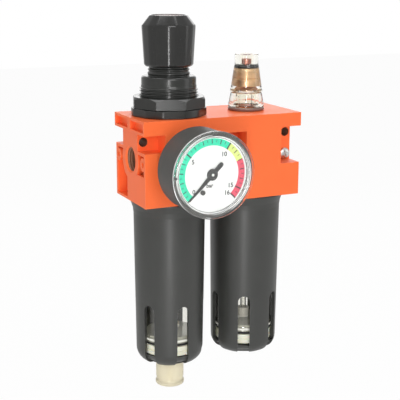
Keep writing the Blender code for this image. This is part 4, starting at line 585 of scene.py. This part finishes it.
print("body housing")
housing = {
    "length": 85.6, "depth": 38.9, "top": 21.0, "bottom": -21.0, "bandBottom": 14.2, "blockInset": 0.6,
    "edge": 0.35, "edgeAngle": 35, "notchLength": 11.3, "webThickness": 19.2, "inletNotch": 8.6,
    "outletNotch": 18.7, "recessDepth": 6.5, "recessWall": 1.9, "recessRoof": 1.5, "recessLip": 1.2,
    "ribWidth": 8.8, "endWeb": 1.5, "endWebTop": -6.0, "keptDepth": 9.0, "stageWallTop": 15.0,
    "bossRadius": 10.5, "couplingBoss": 3.2, "couplingHole": 1.4, "couplingDepth": 9.0,
    "wallHole": 2.25, "wallHoleInset": 3.6, "wallHoleLevel": 9.8, "wallHoleLength": 40.0,
    "portRadius": 5.9, "portDepth": 10.0, "portMouth": 0.9, "portLip": 0.6,
    "shadeStart": 1.2,       # how deep in a port the painted shade starts
    "bandPocketDepth": 2.6, "bandPocketWall": 1.1, "bandPocketRib": 1.7, "bandPocketLow": 15.45,
    "bandPocketHigh": 19.75, "pocketHalf": 12, "pocketDepth": 10, "pocketLow": -4.5, "pocketHigh": 13.2,
}
portThread = {"radius": 5.95, "crest": 5.3, "low": -9.4, "high": -1.6, "pitch": 1.337}
stageBores = {         # (radius, height) down the axis
    "regulatorBore": [(0, 22), (14.6, 22), (14.6, 15), (10, 15), (10, 7), (5.2, 7), (5.2, -10.3)],
    "lubricatorBore": [(0, 22), (7.3, 22), (7.3, 10.7), (4.9, 10.7), (4.9, -10.3)],
}
bowlBore = [(17.6, -10.3), (17.6, -22), (0, -22)]
passages = {           # where each starts and ends, and its radius
    "supplyDrop": ((-36, -19.45, -11.3), (-36, -19.45, 0), 3.2),
    "crossPassage": ((-21.5, -19.45, 11.2), (7.1, -19.45, 11.2), 3.2),
    "stepDown": ((7.1, -19.45, 0), (7.1, -19.45, 11.2), 3.2),
    "flowBore": ((2.9, -19.45, 0), (33.8, -19.45, 0), 5.6),
    "frontGaugePort": ((-21.5, -40, 0), (-21.5, -29.9, 0), 5.0),
    "rearGaugePort": ((-21.5, 1, 0), (-21.5, -9, 0), 5.0),
    "sideScrewHole": ((38.8, -30.05, -1.4), (38.8, -26.35, -1.4), 1.5),
}


def endTools(side):
    # what is cut from one end, the inlet's at side -1 or the outlet's at side 1
    h = housing
    inlet = side < 0
    middle, below = -h["depth"] / 2, h["bottom"] - 1
    end = side * h["length"] / 2
    past, blockEnd = end + side, end - side * h["blockInset"]
    floor = h["bandBottom"] - (h["inletNotch"] if inlet else h["outletNotch"])
    outward, stage = ("left", regulatorAxis) if inlet else ("right", lubricatorAxis)
    port = Vector((end, middle, 0)) * mm
    tools = []
    for hand, face in ((1, 0.0), (-1, -h["depth"])):
        tools.append(slab("notch", end - side * h["notchLength"], past, middle + hand * h["webThickness"] / 2,
                          face + hand, floor, h["bandBottom"]))
        recess = slab("recess", blockEnd - side * h["recessDepth"], past, middle,
                      face - hand * h["recessWall"], h["bottom"] + h["recessLip"], floor - h["recessRoof"])
        kept = [
            rodPiece("bossKept", h["bossRadius"], -h["keptDepth"], 2, port, outward, 64),
            slab("ribKept", blockEnd - side * h["keptDepth"], past + side, middle - h["ribWidth"] / 2,
                 middle + h["ribWidth"] / 2, below, h["bandBottom"]),
            rodPiece("wallKept", h["depth"] / 2, below, h["stageWallTop"], stage),
        ]
        if inlet and hand < 0:
            # the photo shows the lower part of this recess closed flush
            kept.append(slab("webKept", blockEnd - side * h["endWeb"], past, middle, face, h["bottom"],
                             h["endWebTop"]))
        if inlet:
            boss = Vector((end, face - hand * h["couplingBoss"], 0)) * mm
            kept.append(rodPiece("couplingKept", h["couplingBoss"], -h["keptDepth"], 2, boss, outward, 40))
            tools.append(rodPiece("couplingHole", h["couplingHole"], -h["couplingDepth"], 1, boss, outward,
                                  32))
        tools.append(carve(recess, kept))
        tools.append(slab("bandPocket", end - side * h["bandPocketDepth"], past,
                          middle + hand * h["bandPocketRib"], face - hand * h["bandPocketWall"],
                          h["bandPocketLow"], h["bandPocketHigh"]))
    tools.append(slab("endInset", blockEnd, past, -h["depth"] - 1, 1, below, h["bandBottom"]))
    mouth = h["portRadius"] + h["portMouth"]
    tools.append(turnedPiece("port", [
        (0, 1), (mouth, 1), (mouth, -h["portLip"]), (h["portRadius"], -h["portLip"] - h["portMouth"]),
        (h["portRadius"], -h["portDepth"]), (0, -h["portDepth"]),
    ], port, outward, 64, loop=False))
    wall = Vector((end - side * h["wallHoleInset"], 0, h["wallHoleLevel"])) * mm
    tools.append(rodPiece("wallHole", h["wallHole"], -h["wallHoleLength"], 1, wall, "rear", 40))
    return tools


def drilled(name, start, end, radius):
    start, end = Vector(start) * mm, Vector(end) * mm
    along = end - start
    tool = rodPiece(name, radius, 0, along.length / mm, steps=40)
    aim = Vector((0, 0, 1)).rotation_difference(along).to_matrix().to_4x4()
    tool.data.transform(Matrix.Translation(start) @ aim)
    return tool


def inPaintedPortShade(x, y, z):
    # in a port or a wall hole, whose bore is painted dark brown as shade
    h = housing
    inward, across = h["length"] / 2 - abs(x), y + h["depth"] / 2
    inPort = math.hypot(across, z) < h["portRadius"] + 0.3 and h["shadeStart"] < inward < h["portDepth"] + 1.8
    fromHole = math.hypot(inward - h["wallHoleInset"], z - h["wallHoleLevel"])
    return inPort or (fromHole < h["wallHole"] + 0.1 and abs(across) < h["webThickness"] / 2 - 0.05)


def makeHousing():
    h = housing
    front, end = -h["depth"], h["length"] / 2
    body = slab("bodyHousing", -end, end, front, 0, h["bottom"], h["top"])
    tools = endTools(-1) + endTools(1)
    tools.append(slab("frontPocket", -h["pocketHalf"], h["pocketHalf"], front - 1, front + h["pocketDepth"],
                      h["pocketLow"], h["pocketHigh"]))
    for (name, profile), stage in zip(stageBores.items(), (regulatorAxis, lubricatorAxis)):
        tools.append(turnedPiece(name, profile + bowlBore, stage, loop=False))
    tools += [drilled(name, *passage) for name, passage in passages.items()]
    settle(softenEdges(carve(body, tools), h["edge"], h["edgeAngle"]))
    dress(body, "orangeEnamel", "root", ["body"])
    # the bores of ports and wall holes are painted dark brown as shade
    secondFinish(body, "paintedPortShade", inPaintedPortShade)
    for label, x, outward in (("inlet", -end, "left"), ("outlet", end, "right")):
        port = Vector((x, front / 2, 0)) * mm
        ridge = threadRidge(label + "Thread", at=port, direction=outward, **portThread)
        # the port threads take the same painted shade
        dress(ridge, "paintedPortShade", "root")


makeHousing()


print("regulator head")
bonnetSizes = {
    # (radius, height, fillet) corners, down the outside and back up the bore
    "outside": [(10.1, 55.0, 0.4), (10.1, 45.2, 0.3), (9.5, 44.4, 0.5), (10.35, 43.4, 0.4), (9.75, 42.7, 0.3),
                (10.5, 41.7, 0.4), (10.1, 40.4, 0.3), (13.5, 40.4, 1.6), (13.5, 36.0, 0.3), (13.7, 35.4, 0.2),
                (13.6, 24.9), (18.6, 24.9, 0.4), (18.6, 21.3, 0.3), (14.3, 21.3), (14.3, 16.8)],
    "bore": [(11.0, 16.8), (11.0, 35.4), (9.25, 35.4), (9.25, 52.7), (3.6, 52.7), (3.6, 55.0)],
    "flats": 6, "flat": 17.95, "flatLow": 20.5, "flatHigh": 25.0, "flatTurn": -105, "edge": 0.2,
}
bonnetThread = {"radius": 13.55, "crest": 14.4, "low": 31.0, "high": 35.2, "pitch": 1.4, "steps": 96}
nutSizes = {
    "radius": 18.75, "sides": 8, "turn": 3.0, "base": 25.2, "top": 30.4, "edge": 0.35,
    "cone": [(0, 30.4), (17.45, 30.4), (19.15, 28.9), (19.15, 25.6), (18.35, 25.2), (0, 25.2)],
    "bore": [(0, 31), (15.0, 31), (15.0, 30.3), (14.3, 29.6), (14.3, 25), (0, 25)],
}
knobSizes = {
    "profile": [(0, 69.5), (9.4, 69.5, 0.8), (13.3, 64.7, 1.6), (12.2, 45.9, 0.9), (11.5, 45.0, 0.3),
                (0, 45.0)],
    "lobes": 8, "turn": -6.0, "lobeWidth": 26.0,      # degrees
    "rounding": 6.0 / 13.3,    # of a lobe's corners, as a share of the shoulder's radius
    "inside": [(0, 44), (11.0, 44), (10.7, 45.4), (10.7, 59.1), (0, 59.1)],
    "seatRadius": 8.4, "seatLow": 67.7, "seatHigh": 71,
    "cap": [(0, 69.25), (7.2, 69.25), (8.1, 69.0, 0.3), (8.1, 68.0), (0, 68.0)],
}


def makeBonnet():
    b = bonnetSizes
    bonnet = turnedPiece("bonnetHousing", b["outside"] + b["bore"], regulatorAxis)
    carve(bonnet, [turnedTo(slab("flat", b["flat"], b["flat"] + 4, -20, 20, b["flatLow"], b["flatHigh"]),
                            regulatorAxis, b["flatTurn"] + 360 / b["flats"] * i) for i in range(b["flats"])])
    dress(softenEdges(bonnet, b["edge"], 40), "blackNylon", "root", ["regulator_bonnet"])
    dress(threadRidge("bonnetThread", at=regulatorAxis, **bonnetThread), "blackNylon", "root")


def makePanelNut():
    n = nutSizes
    spin = math.radians(n["turn"] - 90)
    outline = arcPoints(0, 0, n["radius"], spin, spin + math.tau, n["sides"])[:-1]
    nut = prism("panelNut", outline, n["base"], n["top"], regulatorAxis)
    carve(nut, [turnedPiece("nutCone", n["cone"], regulatorAxis, loop=False)], "INTERSECT")
    carve(nut, [turnedPiece("nutBore", n["bore"], regulatorAxis, loop=False)])
    dress(softenEdges(nut, n["edge"], 20, 3), "blackNylon", "root", ["panel_nut"])


def makeKnob():
    k = knobSizes
    corners = []
    for i in range(k["lobes"]):
        start = k["turn"] - 90 + 360 / k["lobes"] * i
        for angle in (math.radians(start), math.radians(start + k["lobeWidth"])):
            corners.append((math.cos(angle), math.sin(angle), k["rounding"]))
    outline = rounded(corners, True)
    profile = rounded(k["profile"], False)[1:-1]

    def build(shape):
        joinRings(shape, [[shape.verts.new((r * mm * x, r * mm * y, z * mm)) for x, y in outline]
                          for r, z in profile])

    knob = newPiece("adjustingKnob", build, regulatorAxis)
    carve(knob, [turnedPiece("knobInside", k["inside"], regulatorAxis, loop=False),
                 rodPiece("capSeat", k["seatRadius"], k["seatLow"], k["seatHigh"], regulatorAxis)])
    dress(knob, "knobNylon", "knob", ["adjusting_knob"])
    cap = turnedPiece("knobCap", k["cap"], regulatorAxis, loop=False)
    dress(cap, "capBrown", "knob", ["knob_cap"])


makeBonnet()
makePanelNut()
makeKnob()


print("bowl guards")
guardSizes = {
    "spigot": 17.3, "spigotTop": -14.8, "collar": 19.6, "collarTop": -21.3, "collarEnd": -26.6, "top": 18.1,
    "end": 17.3, "corner": 7.0, "bottom": -107.0, "floor": -104.0, "floorRadius": 11.4, "hole": 7.9,
    "bore": 15.6, "ledge": -101.3, "ledgeRadius": 14.0, "slots": 6, "slotWidth": 6.2, "slotTop": -74.0,
    "slotInner": 13.6, "past": 21, "groove": 1.4, "edge": 0.3,
}


def makeGuard(name, stage, turn, body, node):
    g = guardSizes
    cornerX, cornerZ, down = g["end"] - g["corner"], g["bottom"] + g["corner"], -math.pi / 2
    guard = turnedPiece(name, [
        (g["spigot"], g["spigotTop"]), (g["spigot"], g["collarTop"]), (g["collar"], g["collarTop"], 0.4),
        (g["collar"], g["collarTop"] - 0.7, 0.4), (g["top"] + 0.35, g["collarEnd"] + 1.2, 1.5),
        (g["top"], g["collarEnd"] - 1.5, 2.0), *arcPoints(cornerX, cornerZ, g["corner"], 0, down, 8),
        (g["hole"], g["bottom"], 0.5), (g["hole"], g["floor"]), (g["floorRadius"], g["floor"]),
        (g["ledgeRadius"], g["ledge"]), (g["bore"], g["ledge"]), (g["bore"], g["spigotTop"]),
    ], stage)
    half, inset = g["slotWidth"] / 2, g["corner"] - g["groove"]
    window = archOutline(half, g["ledge"], g["slotTop"] - half, 14)
    groove = arcPoints(cornerX, cornerZ, inset, 0, down, 8)[::-1] + [
        (cornerX + inset, g["ledge"] + 1), (g["past"], g["ledge"] + 1), (g["past"], g["bottom"] - 1),
        (cornerX, g["bottom"] - 1)]
    tools = []
    for i in range(g["slots"]):
        angle = turn + 360 / g["slots"] * i
        slot = prism("slot", window, g["slotInner"], g["past"], direction="front")
        channel = prism("groove", groove, -half, half, direction="front")
        sideways = Matrix.Rotation(down, 4, "Z")
        tools += [turnedTo(slot, stage, angle), turnedTo(channel, stage, angle, sideways)]
    softenEdges(carve(guard, tools), g["edge"], 40)
    dress(guard, "guardNylon", body, [node])


makeGuard("filterGuard", regulatorAxis, 0, "filter_guard", "filter_guard")
makeGuard("lubricatorGuard", lubricatorAxis, -26, "lubricator_guard", "lubricator_guard")


print("bowls, bases and drain")
bowlSizes = {
    "outside": [(17.3, -12.5, 0.3), (17.3, -14.5), (15.1, -14.5, 0.3), (15.1, -91.9, 0.3), (15.3, -92.3, 0.2),
                (15.3, -94.3, 0.2)],
    "bore": [(13.5, -94.3), (13.5, -12.5)],
    # a thin white ring inside the clear rim: a painted highlight of the bowl's rim
    "paintedRimHighlight": {"outer": 15.25, "inner": 15.05, "low": -93.5, "high": -92.4, "fillets": (0.2, 0)},
    "baseSeal": {"outer": 14.85, "inner": 13.75, "low": -95.7, "high": -94.6, "fillets": (0.5, 0.5)},
    "spigotEnd": -95.9,    # where the part of the base that is seen through the bowl ends; above it the base is painted grey as the bowl's reflections and shade
}
baseSizes = {
    "outside": [(13.2, -91.3, 0.5), (13.2, -96.0), (14.9, -96.0, 0.3), (14.9, -98.2, 0.2), (14.5, -98.4),
                (14.5, -98.8), (14.9, -99.0, 0.2), (14.9, -101.0, 0.3), (9.5, -101.0), (9.5, -103.7, 0.3)],
    "filter": [(7.5, -103.7), (7.5, -99.4), (5.9, -99.4), (5.9, -93.5), (2.9, -93.5), (2.9, -91.3)],
    "lubricator": [(5.9, -103.7), (5.9, -101.0), (0, -101.0), (0, -91.3)],
}
drainProfile = [
    (7.2, -102.7, 0.3), (7.2, -117.0), (6.75, -117.8, 0.4), (6.85, -118.6, 0.3), (7.45, -119.4, 0.3),
    (7.45, -120.6, 0.5), (6.9, -121.0, 0.4), (2.6, -121.0, 0.3), (2.2, -119.4, 0.3), (1.2, -119.0),
    (1.2, -109.0), (2.9, -109.0), (2.9, -102.7),
]


def makeBowl(label, stage):
    b, body = bowlSizes, label + "_bowl"
    bowl = turnedPiece(label + "Bowl", b["outside"] + b["bore"], stage)
    dress(bowl, "clearPlastic", body, [body])
    # the white ring is a painted highlight of the rim
    dress(ringPiece(label + "PaintedRimHighlight", stage, **b["paintedRimHighlight"]), "whitePlastic", body)
    seal = ringPiece(label + "BaseSeal", stage, **b["baseSeal"])
    dress(seal, "rubber", body, [label + "_base_seal"])
    base = turnedPiece(label + "BowlBase", baseSizes["outside"] + baseSizes[label], stage)
    dress(base, "creamPlastic", body, [body + "_base"])
    # the spigot above spigotEnd is painted grey as the clear bowl's reflections and shade
    secondFinish(base, "paintedBowlReflection", lambda x, y, z: z > b["spigotEnd"])


makeBowl("filter", regulatorAxis)
makeBowl("lubricator", lubricatorAxis)
drainKnob = turnedPiece("drainKnob", drainProfile, regulatorAxis)
dress(drainKnob, "drainPlastic", "drain", ["drain_knob"])


print("sight dome")
domeSizes = {
    "outside": [(6.0, 49.6, 0.7), (6.0, 44.4, 0.3), (6.5, 41.9, 0.4), (8.0, 31.8, 0.3), (8.3, 30.6, 0.3),
                (7.9, 29.8, 0.3), (8.2, 28.6, 0.5), (8.8, 25.2, 0.6), (9.1, 24.2, 0.3), (9.1, 22.8, 0.2),
                (7.0, 22.8), (7.0, 12.9)],
    # solid plastic lies close round the bush, so that it looks as wide as the dome
    "inside": [(5.3, 12.9), (5.6, 20.6), (7.0, 23.4, 0.5), (6.4, 30.4, 1.4), (3.0, 32.7, 0.6), (2.0, 32.8),
               (2.0, 43.9), (3.4, 44.2, 0.2), (3.4, 49.6, 0.4)],
    "sleeve": [(5.2, 30.2, 0.2), (5.2, 13.4), (4.7, 13.4), (4.7, 30.2, 0.2)],
    "sleeveEdge": 0.15, "windows": 4, "windowTurn": -3.0, "windowHalf": 2.2, "windowLow": 21.5,
    "windowRound": 26.6, "windowInner": 3, "windowOuter": 7,
    "bush": [(4.9, 42.2, 0.2), (4.9, 41.2), (5.15, 40.8, 0.2), (5.15, 37.4), (4.95, 37.2), (4.95, 36.9),
             (5.2, 36.7), (5.2, 33.0, 0.3), (1.9, 33.0), (1.9, 42.2)],
    "needleSeal": {"outer": 5.05, "inner": 1.7, "low": 42.5, "high": 43.6, "fillets": (0.5, 0.3)},
    "domeSeal": {"outer": 9.3, "inner": 7.3, "low": 21.3, "high": 22.5, "fillets": (0.4, 0)},
}


def makeDome():
    d, axis = domeSizes, lubricatorAxis
    dome = turnedPiece("sightDome", d["outside"] + d["inside"], axis)
    dress(dome, "domePlastic", "root", ["sight_dome"])
    sleeve = turnedPiece("sightSleeve", d["sleeve"], axis)
    arch = archOutline(d["windowHalf"], d["windowLow"], d["windowRound"], 10)
    carve(sleeve, [turnedTo(prism("arch", arch, d["windowInner"], d["windowOuter"], direction="front"), axis,
                            d["windowTurn"] + 360 * i / d["windows"]) for i in range(d["windows"])])
    dress(softenEdges(sleeve, d["sleeveEdge"], 40), "domePlastic", "root")
    dress(turnedPiece("dripBush", d["bush"], axis), "amberBush", "root", ["drip_bush"])
    seal = ringPiece("needleSeal", axis, **d["needleSeal"])
    dress(seal, "rubber", "root", ["needle_seal"])
    dress(ringPiece("domeSeal", axis, **d["domeSeal"]), "capBrown", "root", ["dome_seal"])


makeDome()


print("springs, diaphragm and side screw")
springSizes = {
    "regulatingSpring": {"node": "regulating_spring", "wire": 1.1, "turns": 7, "low": "root", "high": "nut"},
    "valveSpring": {"node": "valve_spring", "wire": 0.35, "turns": 6, "low": "root", "high": "poppet"},
    "drainSpring": {"node": "drain_spring", "wire": 0.4, "turns": 6, "low": "drain", "high": "filter_bowl"},
}
coilSteps = {"perTurn": 32, "aroundWire": 10}
closedTurn = 0.9       # how much of each end turn lies closed
diaphragmSizes = {
    "sheet": [(14.4, 15.75, 0.1), (11.0, 15.75, 0.2), (9.7, 16.35, 0.2), (2.5, 16.35), (2.5, 15.9),
              (8.8, 15.9), (10.6, 15.25), (14.4, 15.25, 0.1)],
    "rimTop": 15.75, "level": 15.9,     # the heights of the rim's top and of the middle's underside
}
screwSizes = {
    "at": (38.8, -29.05, -1.4), "turn": 20.0, "slotHalf": 0.31, "slotReach": 1.9, "slotFloor": 0.9,
    "slotTop": 2.2, "edge": 0.06,
    "profile": [(0, 1.75), (1.3, 1.7, 0.4), (2.4, 1.3, 0.6), (3.0, 0.7, 0.3), (3.0, 0.2, 0.1), (1.2, 0.2),
                (1.2, -2.4, 0.2), (0, -2.4)],
}


def makeSpring(name, node, wire, turns, low, high):
    # from its low to its high body, with a closed turn at each end
    bottom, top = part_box(node)
    coil = (top.x - bottom.x) / 2 / mm - wire
    first, last = bottom.z / mm + wire, top.z / mm - wire
    climb = 2 * wire * closedTurn
    perTurn, around = coilSteps["perTurn"], coilSteps["aroundWire"]

    def heightAt(turn):
        if turn < closedTurn:
            return first + climb * turn / closedTurn
        if turn > turns - closedTurn:
            return last - climb * (turns - turn) / closedTurn
        share = (turn - closedTurn) / (turns - 2 * closedTurn)
        return first + climb + (last - first - 2 * climb) * share

    def build(shape):
        joinRings(shape, [[pointRound(shape, math.tau * i / perTurn, coil + wire * math.cos(a),
                                      heightAt(i / perTurn) + wire * math.sin(a))
                           for a in (math.tau * k / around for k in range(around))]
                          for i in range(turns * perTurn + 1)])

    middle = Vector(((bottom.x + top.x) / 2, (bottom.y + top.y) / 2, 0))
    ends = (middle + Vector((0, 0, bottom.z)), middle + Vector((0, 0, top.z)))
    dress(newPiece(name, build, middle), "springSteel", (low, high, *ends), [node])


def makeDiaphragm():
    # its rim lies at the clamp and its middle at the plate, with a cone between them
    sheet = turnedPiece("diaphragmSheet", diaphragmSizes["sheet"], regulatorAxis)
    start, end = (regulatorAxis + Vector((0, 0, diaphragmSizes[key] * mm)) for key in ("rimTop", "level"))
    dress(sheet, "rubber", ("root", "plate", start, end), ["diaphragm"])


def makeSideScrew():
    s = screwSizes
    at, half, reach = Vector(s["at"]) * mm, s["slotHalf"], s["slotReach"]
    screw = turnedPiece("sideScrew", s["profile"], at, "front", 64, loop=False)
    bar = [(-reach, -half), (reach, -half), (reach, half), (-reach, half)]
    carve(screw, [prism("crossSlot", bar, s["slotFloor"], s["slotTop"], at, "front",
                        math.radians(s["turn"] + quarter)) for quarter in (0, 90)])
    dress(softenEdges(screw, s["edge"], 40), "zincSteel", "root", ["side_screw"])


for springName, values in springSizes.items():
    makeSpring(springName, **values)
makeDiaphragm()
makeSideScrew()


print("pressure gauge")
gaugeSizes = {
    # (radius, height, fillet) corners, with the height measured from the back of the case
    "case": [(19.8, 18.9, 0.2), (19.8, 0.6, 0.9), (19.0, 0.0, 0.5), (5.3, 0.0, 0.2), (5.3, 1.1),
             (18.7, 1.1, 0.3), (18.7, 18.9, 0.2)],
    "cover": [(0, 20.3), (18.1, 20.3, 0.2), (18.5, 20.9, 0.4), (19.9, 20.9, 0.6), (20.4, 20.2, 0.4),
              (20.4, 19.2, 0.3), (18.4, 19.2), (18.4, 17.3, 0.1), (17.4, 17.3, 0.1), (17.4, 18.9, 0.3),
              (0, 18.9)],
    "dial": [(18.3, 17.0, 0.1), (18.3, 16.5), (1.2, 16.5), (1.2, 17.0)],
    "hub": [(0, 18.12), (0.7, 18.12), (0.8, 18.1), (2.3, 18.1, 0.15), (2.7, 17.75, 0.2), (2.7, 17.35),
            (0, 17.35)],
    "rivet": [(0, 18.4), (0.6, 18.35, 0.1), (0.7, 18.17, 0.05), (0, 18.17)],
    "dialFace": 17.0, "ink": 0.05, "arcOuter": 16.75, "arcInner": 13.5,
    "full": 16.0, "zero": 225.0, "sweep": 270.0,      # bar, and degrees
    "handLow": 17.3, "handHigh": 17.8, "handEdge": 0.08,
}
catchSizes = {"half": 0.6, "inner": 18.35, "outer": 19.2, "back": 18.8, "front": 19.15, "edge": 0.1}
dialBands = {"green": (0, 10), "yellow": (10, 12), "red": (12, 16)}
dialTicks = {          # inner and outer radius, and half the width
    "numbered": (13.4, 16.85, 0.3), "one": (14.4, 16.4, 0.18), "half": (15.0, 16.2, 0.11),
}
dialWords = {          # what is written, where, and its size
    "dialNumber0": ("0", -9.1, -7.5, 2.9), "dialNumber5": ("5", -9.5, 6.4, 2.9),
    "dialNumber10": ("10", 6.1, 9.0, 2.9), "dialNumber15": ("15", 9.5, -5.8, 2.9),
    "dialNumber16": ("16", 7.7, -9.2, 2.9), "dialUnit": ("bar", -1.1, -5.1, 2.6),
}


def scaleAngle(value):
    return math.radians(gaugeSizes["zero"] - gaugeSizes["sweep"] * value / gaugeSizes["full"])


def gaugePiece(name, steps=128, loop=True):
    # one of the turned pieces above
    return turnedPiece("gauge" + name.capitalize(), gaugeSizes[name], gaugeBack, "front", steps, loop)


def makeCatches():
    c = catchSizes
    outline = [(-c["half"], c["inner"]), (c["half"], c["inner"]), (c["half"], c["outer"]),
               (-c["half"], c["outer"])]
    for i, angle in enumerate((0, 90, -90)):
        catch = prism("caseCatch%d" % i, outline, c["back"], c["front"], gaugeBack, "front",
                      math.radians(angle))
        dress(softenEdges(catch, c["edge"], 30), "dialInk", "root")


def makeBand(color, first, last):
    g = gaugeSizes
    start, end, half = scaleAngle(first), scaleAngle(last), 60
    outline = arcPoints(0, 0, g["arcOuter"], start, end, half)
    outline += arcPoints(0, 0, g["arcInner"], end, start, half)

    def build(shape):
        points = [shape.verts.new((x * mm, y * mm, (g["dialFace"] + g["ink"]) * mm)) for x, y in outline]
        for i in range(half):
            shape.faces.new((points[i], points[i + 1], points[-i - 2], points[-i - 1]))
        grown = bmesh.ops.extrude_face_region(shape, geom=shape.faces[:])
        for item in grown["geom"]:
            if isinstance(item, bmesh.types.BMVert):
                item.co.z -= g["ink"] * mm

    band = newPiece(color + "Band", build, gaugeBack, "front")
    dress(band, "dial" + color.capitalize(), "root")


def makeTicks(shape):
    # one for each half bar
    level, ink = gaugeSizes["dialFace"], gaugeSizes["ink"]
    count = int(gaugeSizes["full"] * 2)
    for step in range(count + 1):
        angle = scaleAngle(step / 2)
        size = "numbered" if step % 10 == 0 or step == count else "one" if step % 2 == 0 else "half"
        inner, outer, half = dialTicks[size]
        along = Vector((math.cos(angle), math.sin(angle)))
        across = Vector((-math.sin(angle), math.cos(angle)))
        corners = [along * reach + across * aside for reach, aside in (
            (inner, -half), (outer, -half), (outer, half), (inner, half))]
        joinRings(shape, [[shape.verts.new((x * mm, y * mm, z * mm)) for x, y in corners]
                          for z in (level + 2 * ink, level + ink)])


def writeOnDial(name, words, x, y, size):
    curve = bpy.data.curves.new(name, "FONT")
    curve.body = words
    curve.size = size * mm
    curve.align_x = curve.align_y = "CENTER"
    curve.extrude = gaugeSizes["ink"] / 2 * mm
    curve.offset = 0.06 * mm
    label = addObject(name, curve)
    label.matrix_world = Matrix.Translation(gaugeBack) @ aims["front"] @ Matrix.Translation(
        Vector((x, y, gaugeSizes["dialFace"] + gaugeSizes["ink"] / 2)) * mm)
    label.data.materials.append(finishes["dialInk"])
    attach(label, "root")


def makePointer():
    g = gaugeSizes
    outline = [(16.3, -0.3), (16.3, 0.3), (2.0, 1.0), (0, 1.0), (-6.4, 1.05)]
    outline += arcPoints(-6.3, 0, 1.0, math.pi / 2, math.pi * 3 / 2, 8)[1:-1]
    outline += [(-6.4, -1.05), (0, -1.0), (2.0, -1.0)]
    hand = prism("pointerHand", outline, g["handLow"], g["handHigh"], gaugeBack, "front", scaleAngle(0))
    dress(softenEdges(hand, g["handEdge"], 30), "dialInk", "pointer", ["gauge_pointer"])
    hub = turnedPiece("pointerHub", g["hub"], gaugeBack, "front", 64, loop=False)
    dress(hub, "dialInk", "pointer")
    rivet = turnedPiece("hubRivet", g["rivet"], gaugeBack, "front", 32, loop=False)
    dress(rivet, "whitePlastic", "pointer")


dress(gaugePiece("case"), "caseNylon", "root", ["gauge_case"])
makeCatches()
dress(gaugePiece("cover", loop=False), "lensGlass", "root", ["gauge_lens"])
dress(gaugePiece("dial"), "dialWhite", "root", ["gauge_dial"])
for color, (first, last) in dialBands.items():
    makeBand(color, first, last)
dress(newPiece("dialTicks", makeTicks, gaugeBack, "front"), "dialInk", "root")
for name, words in dialWords.items():
    writeOnDial(name, *words)
makePointer()
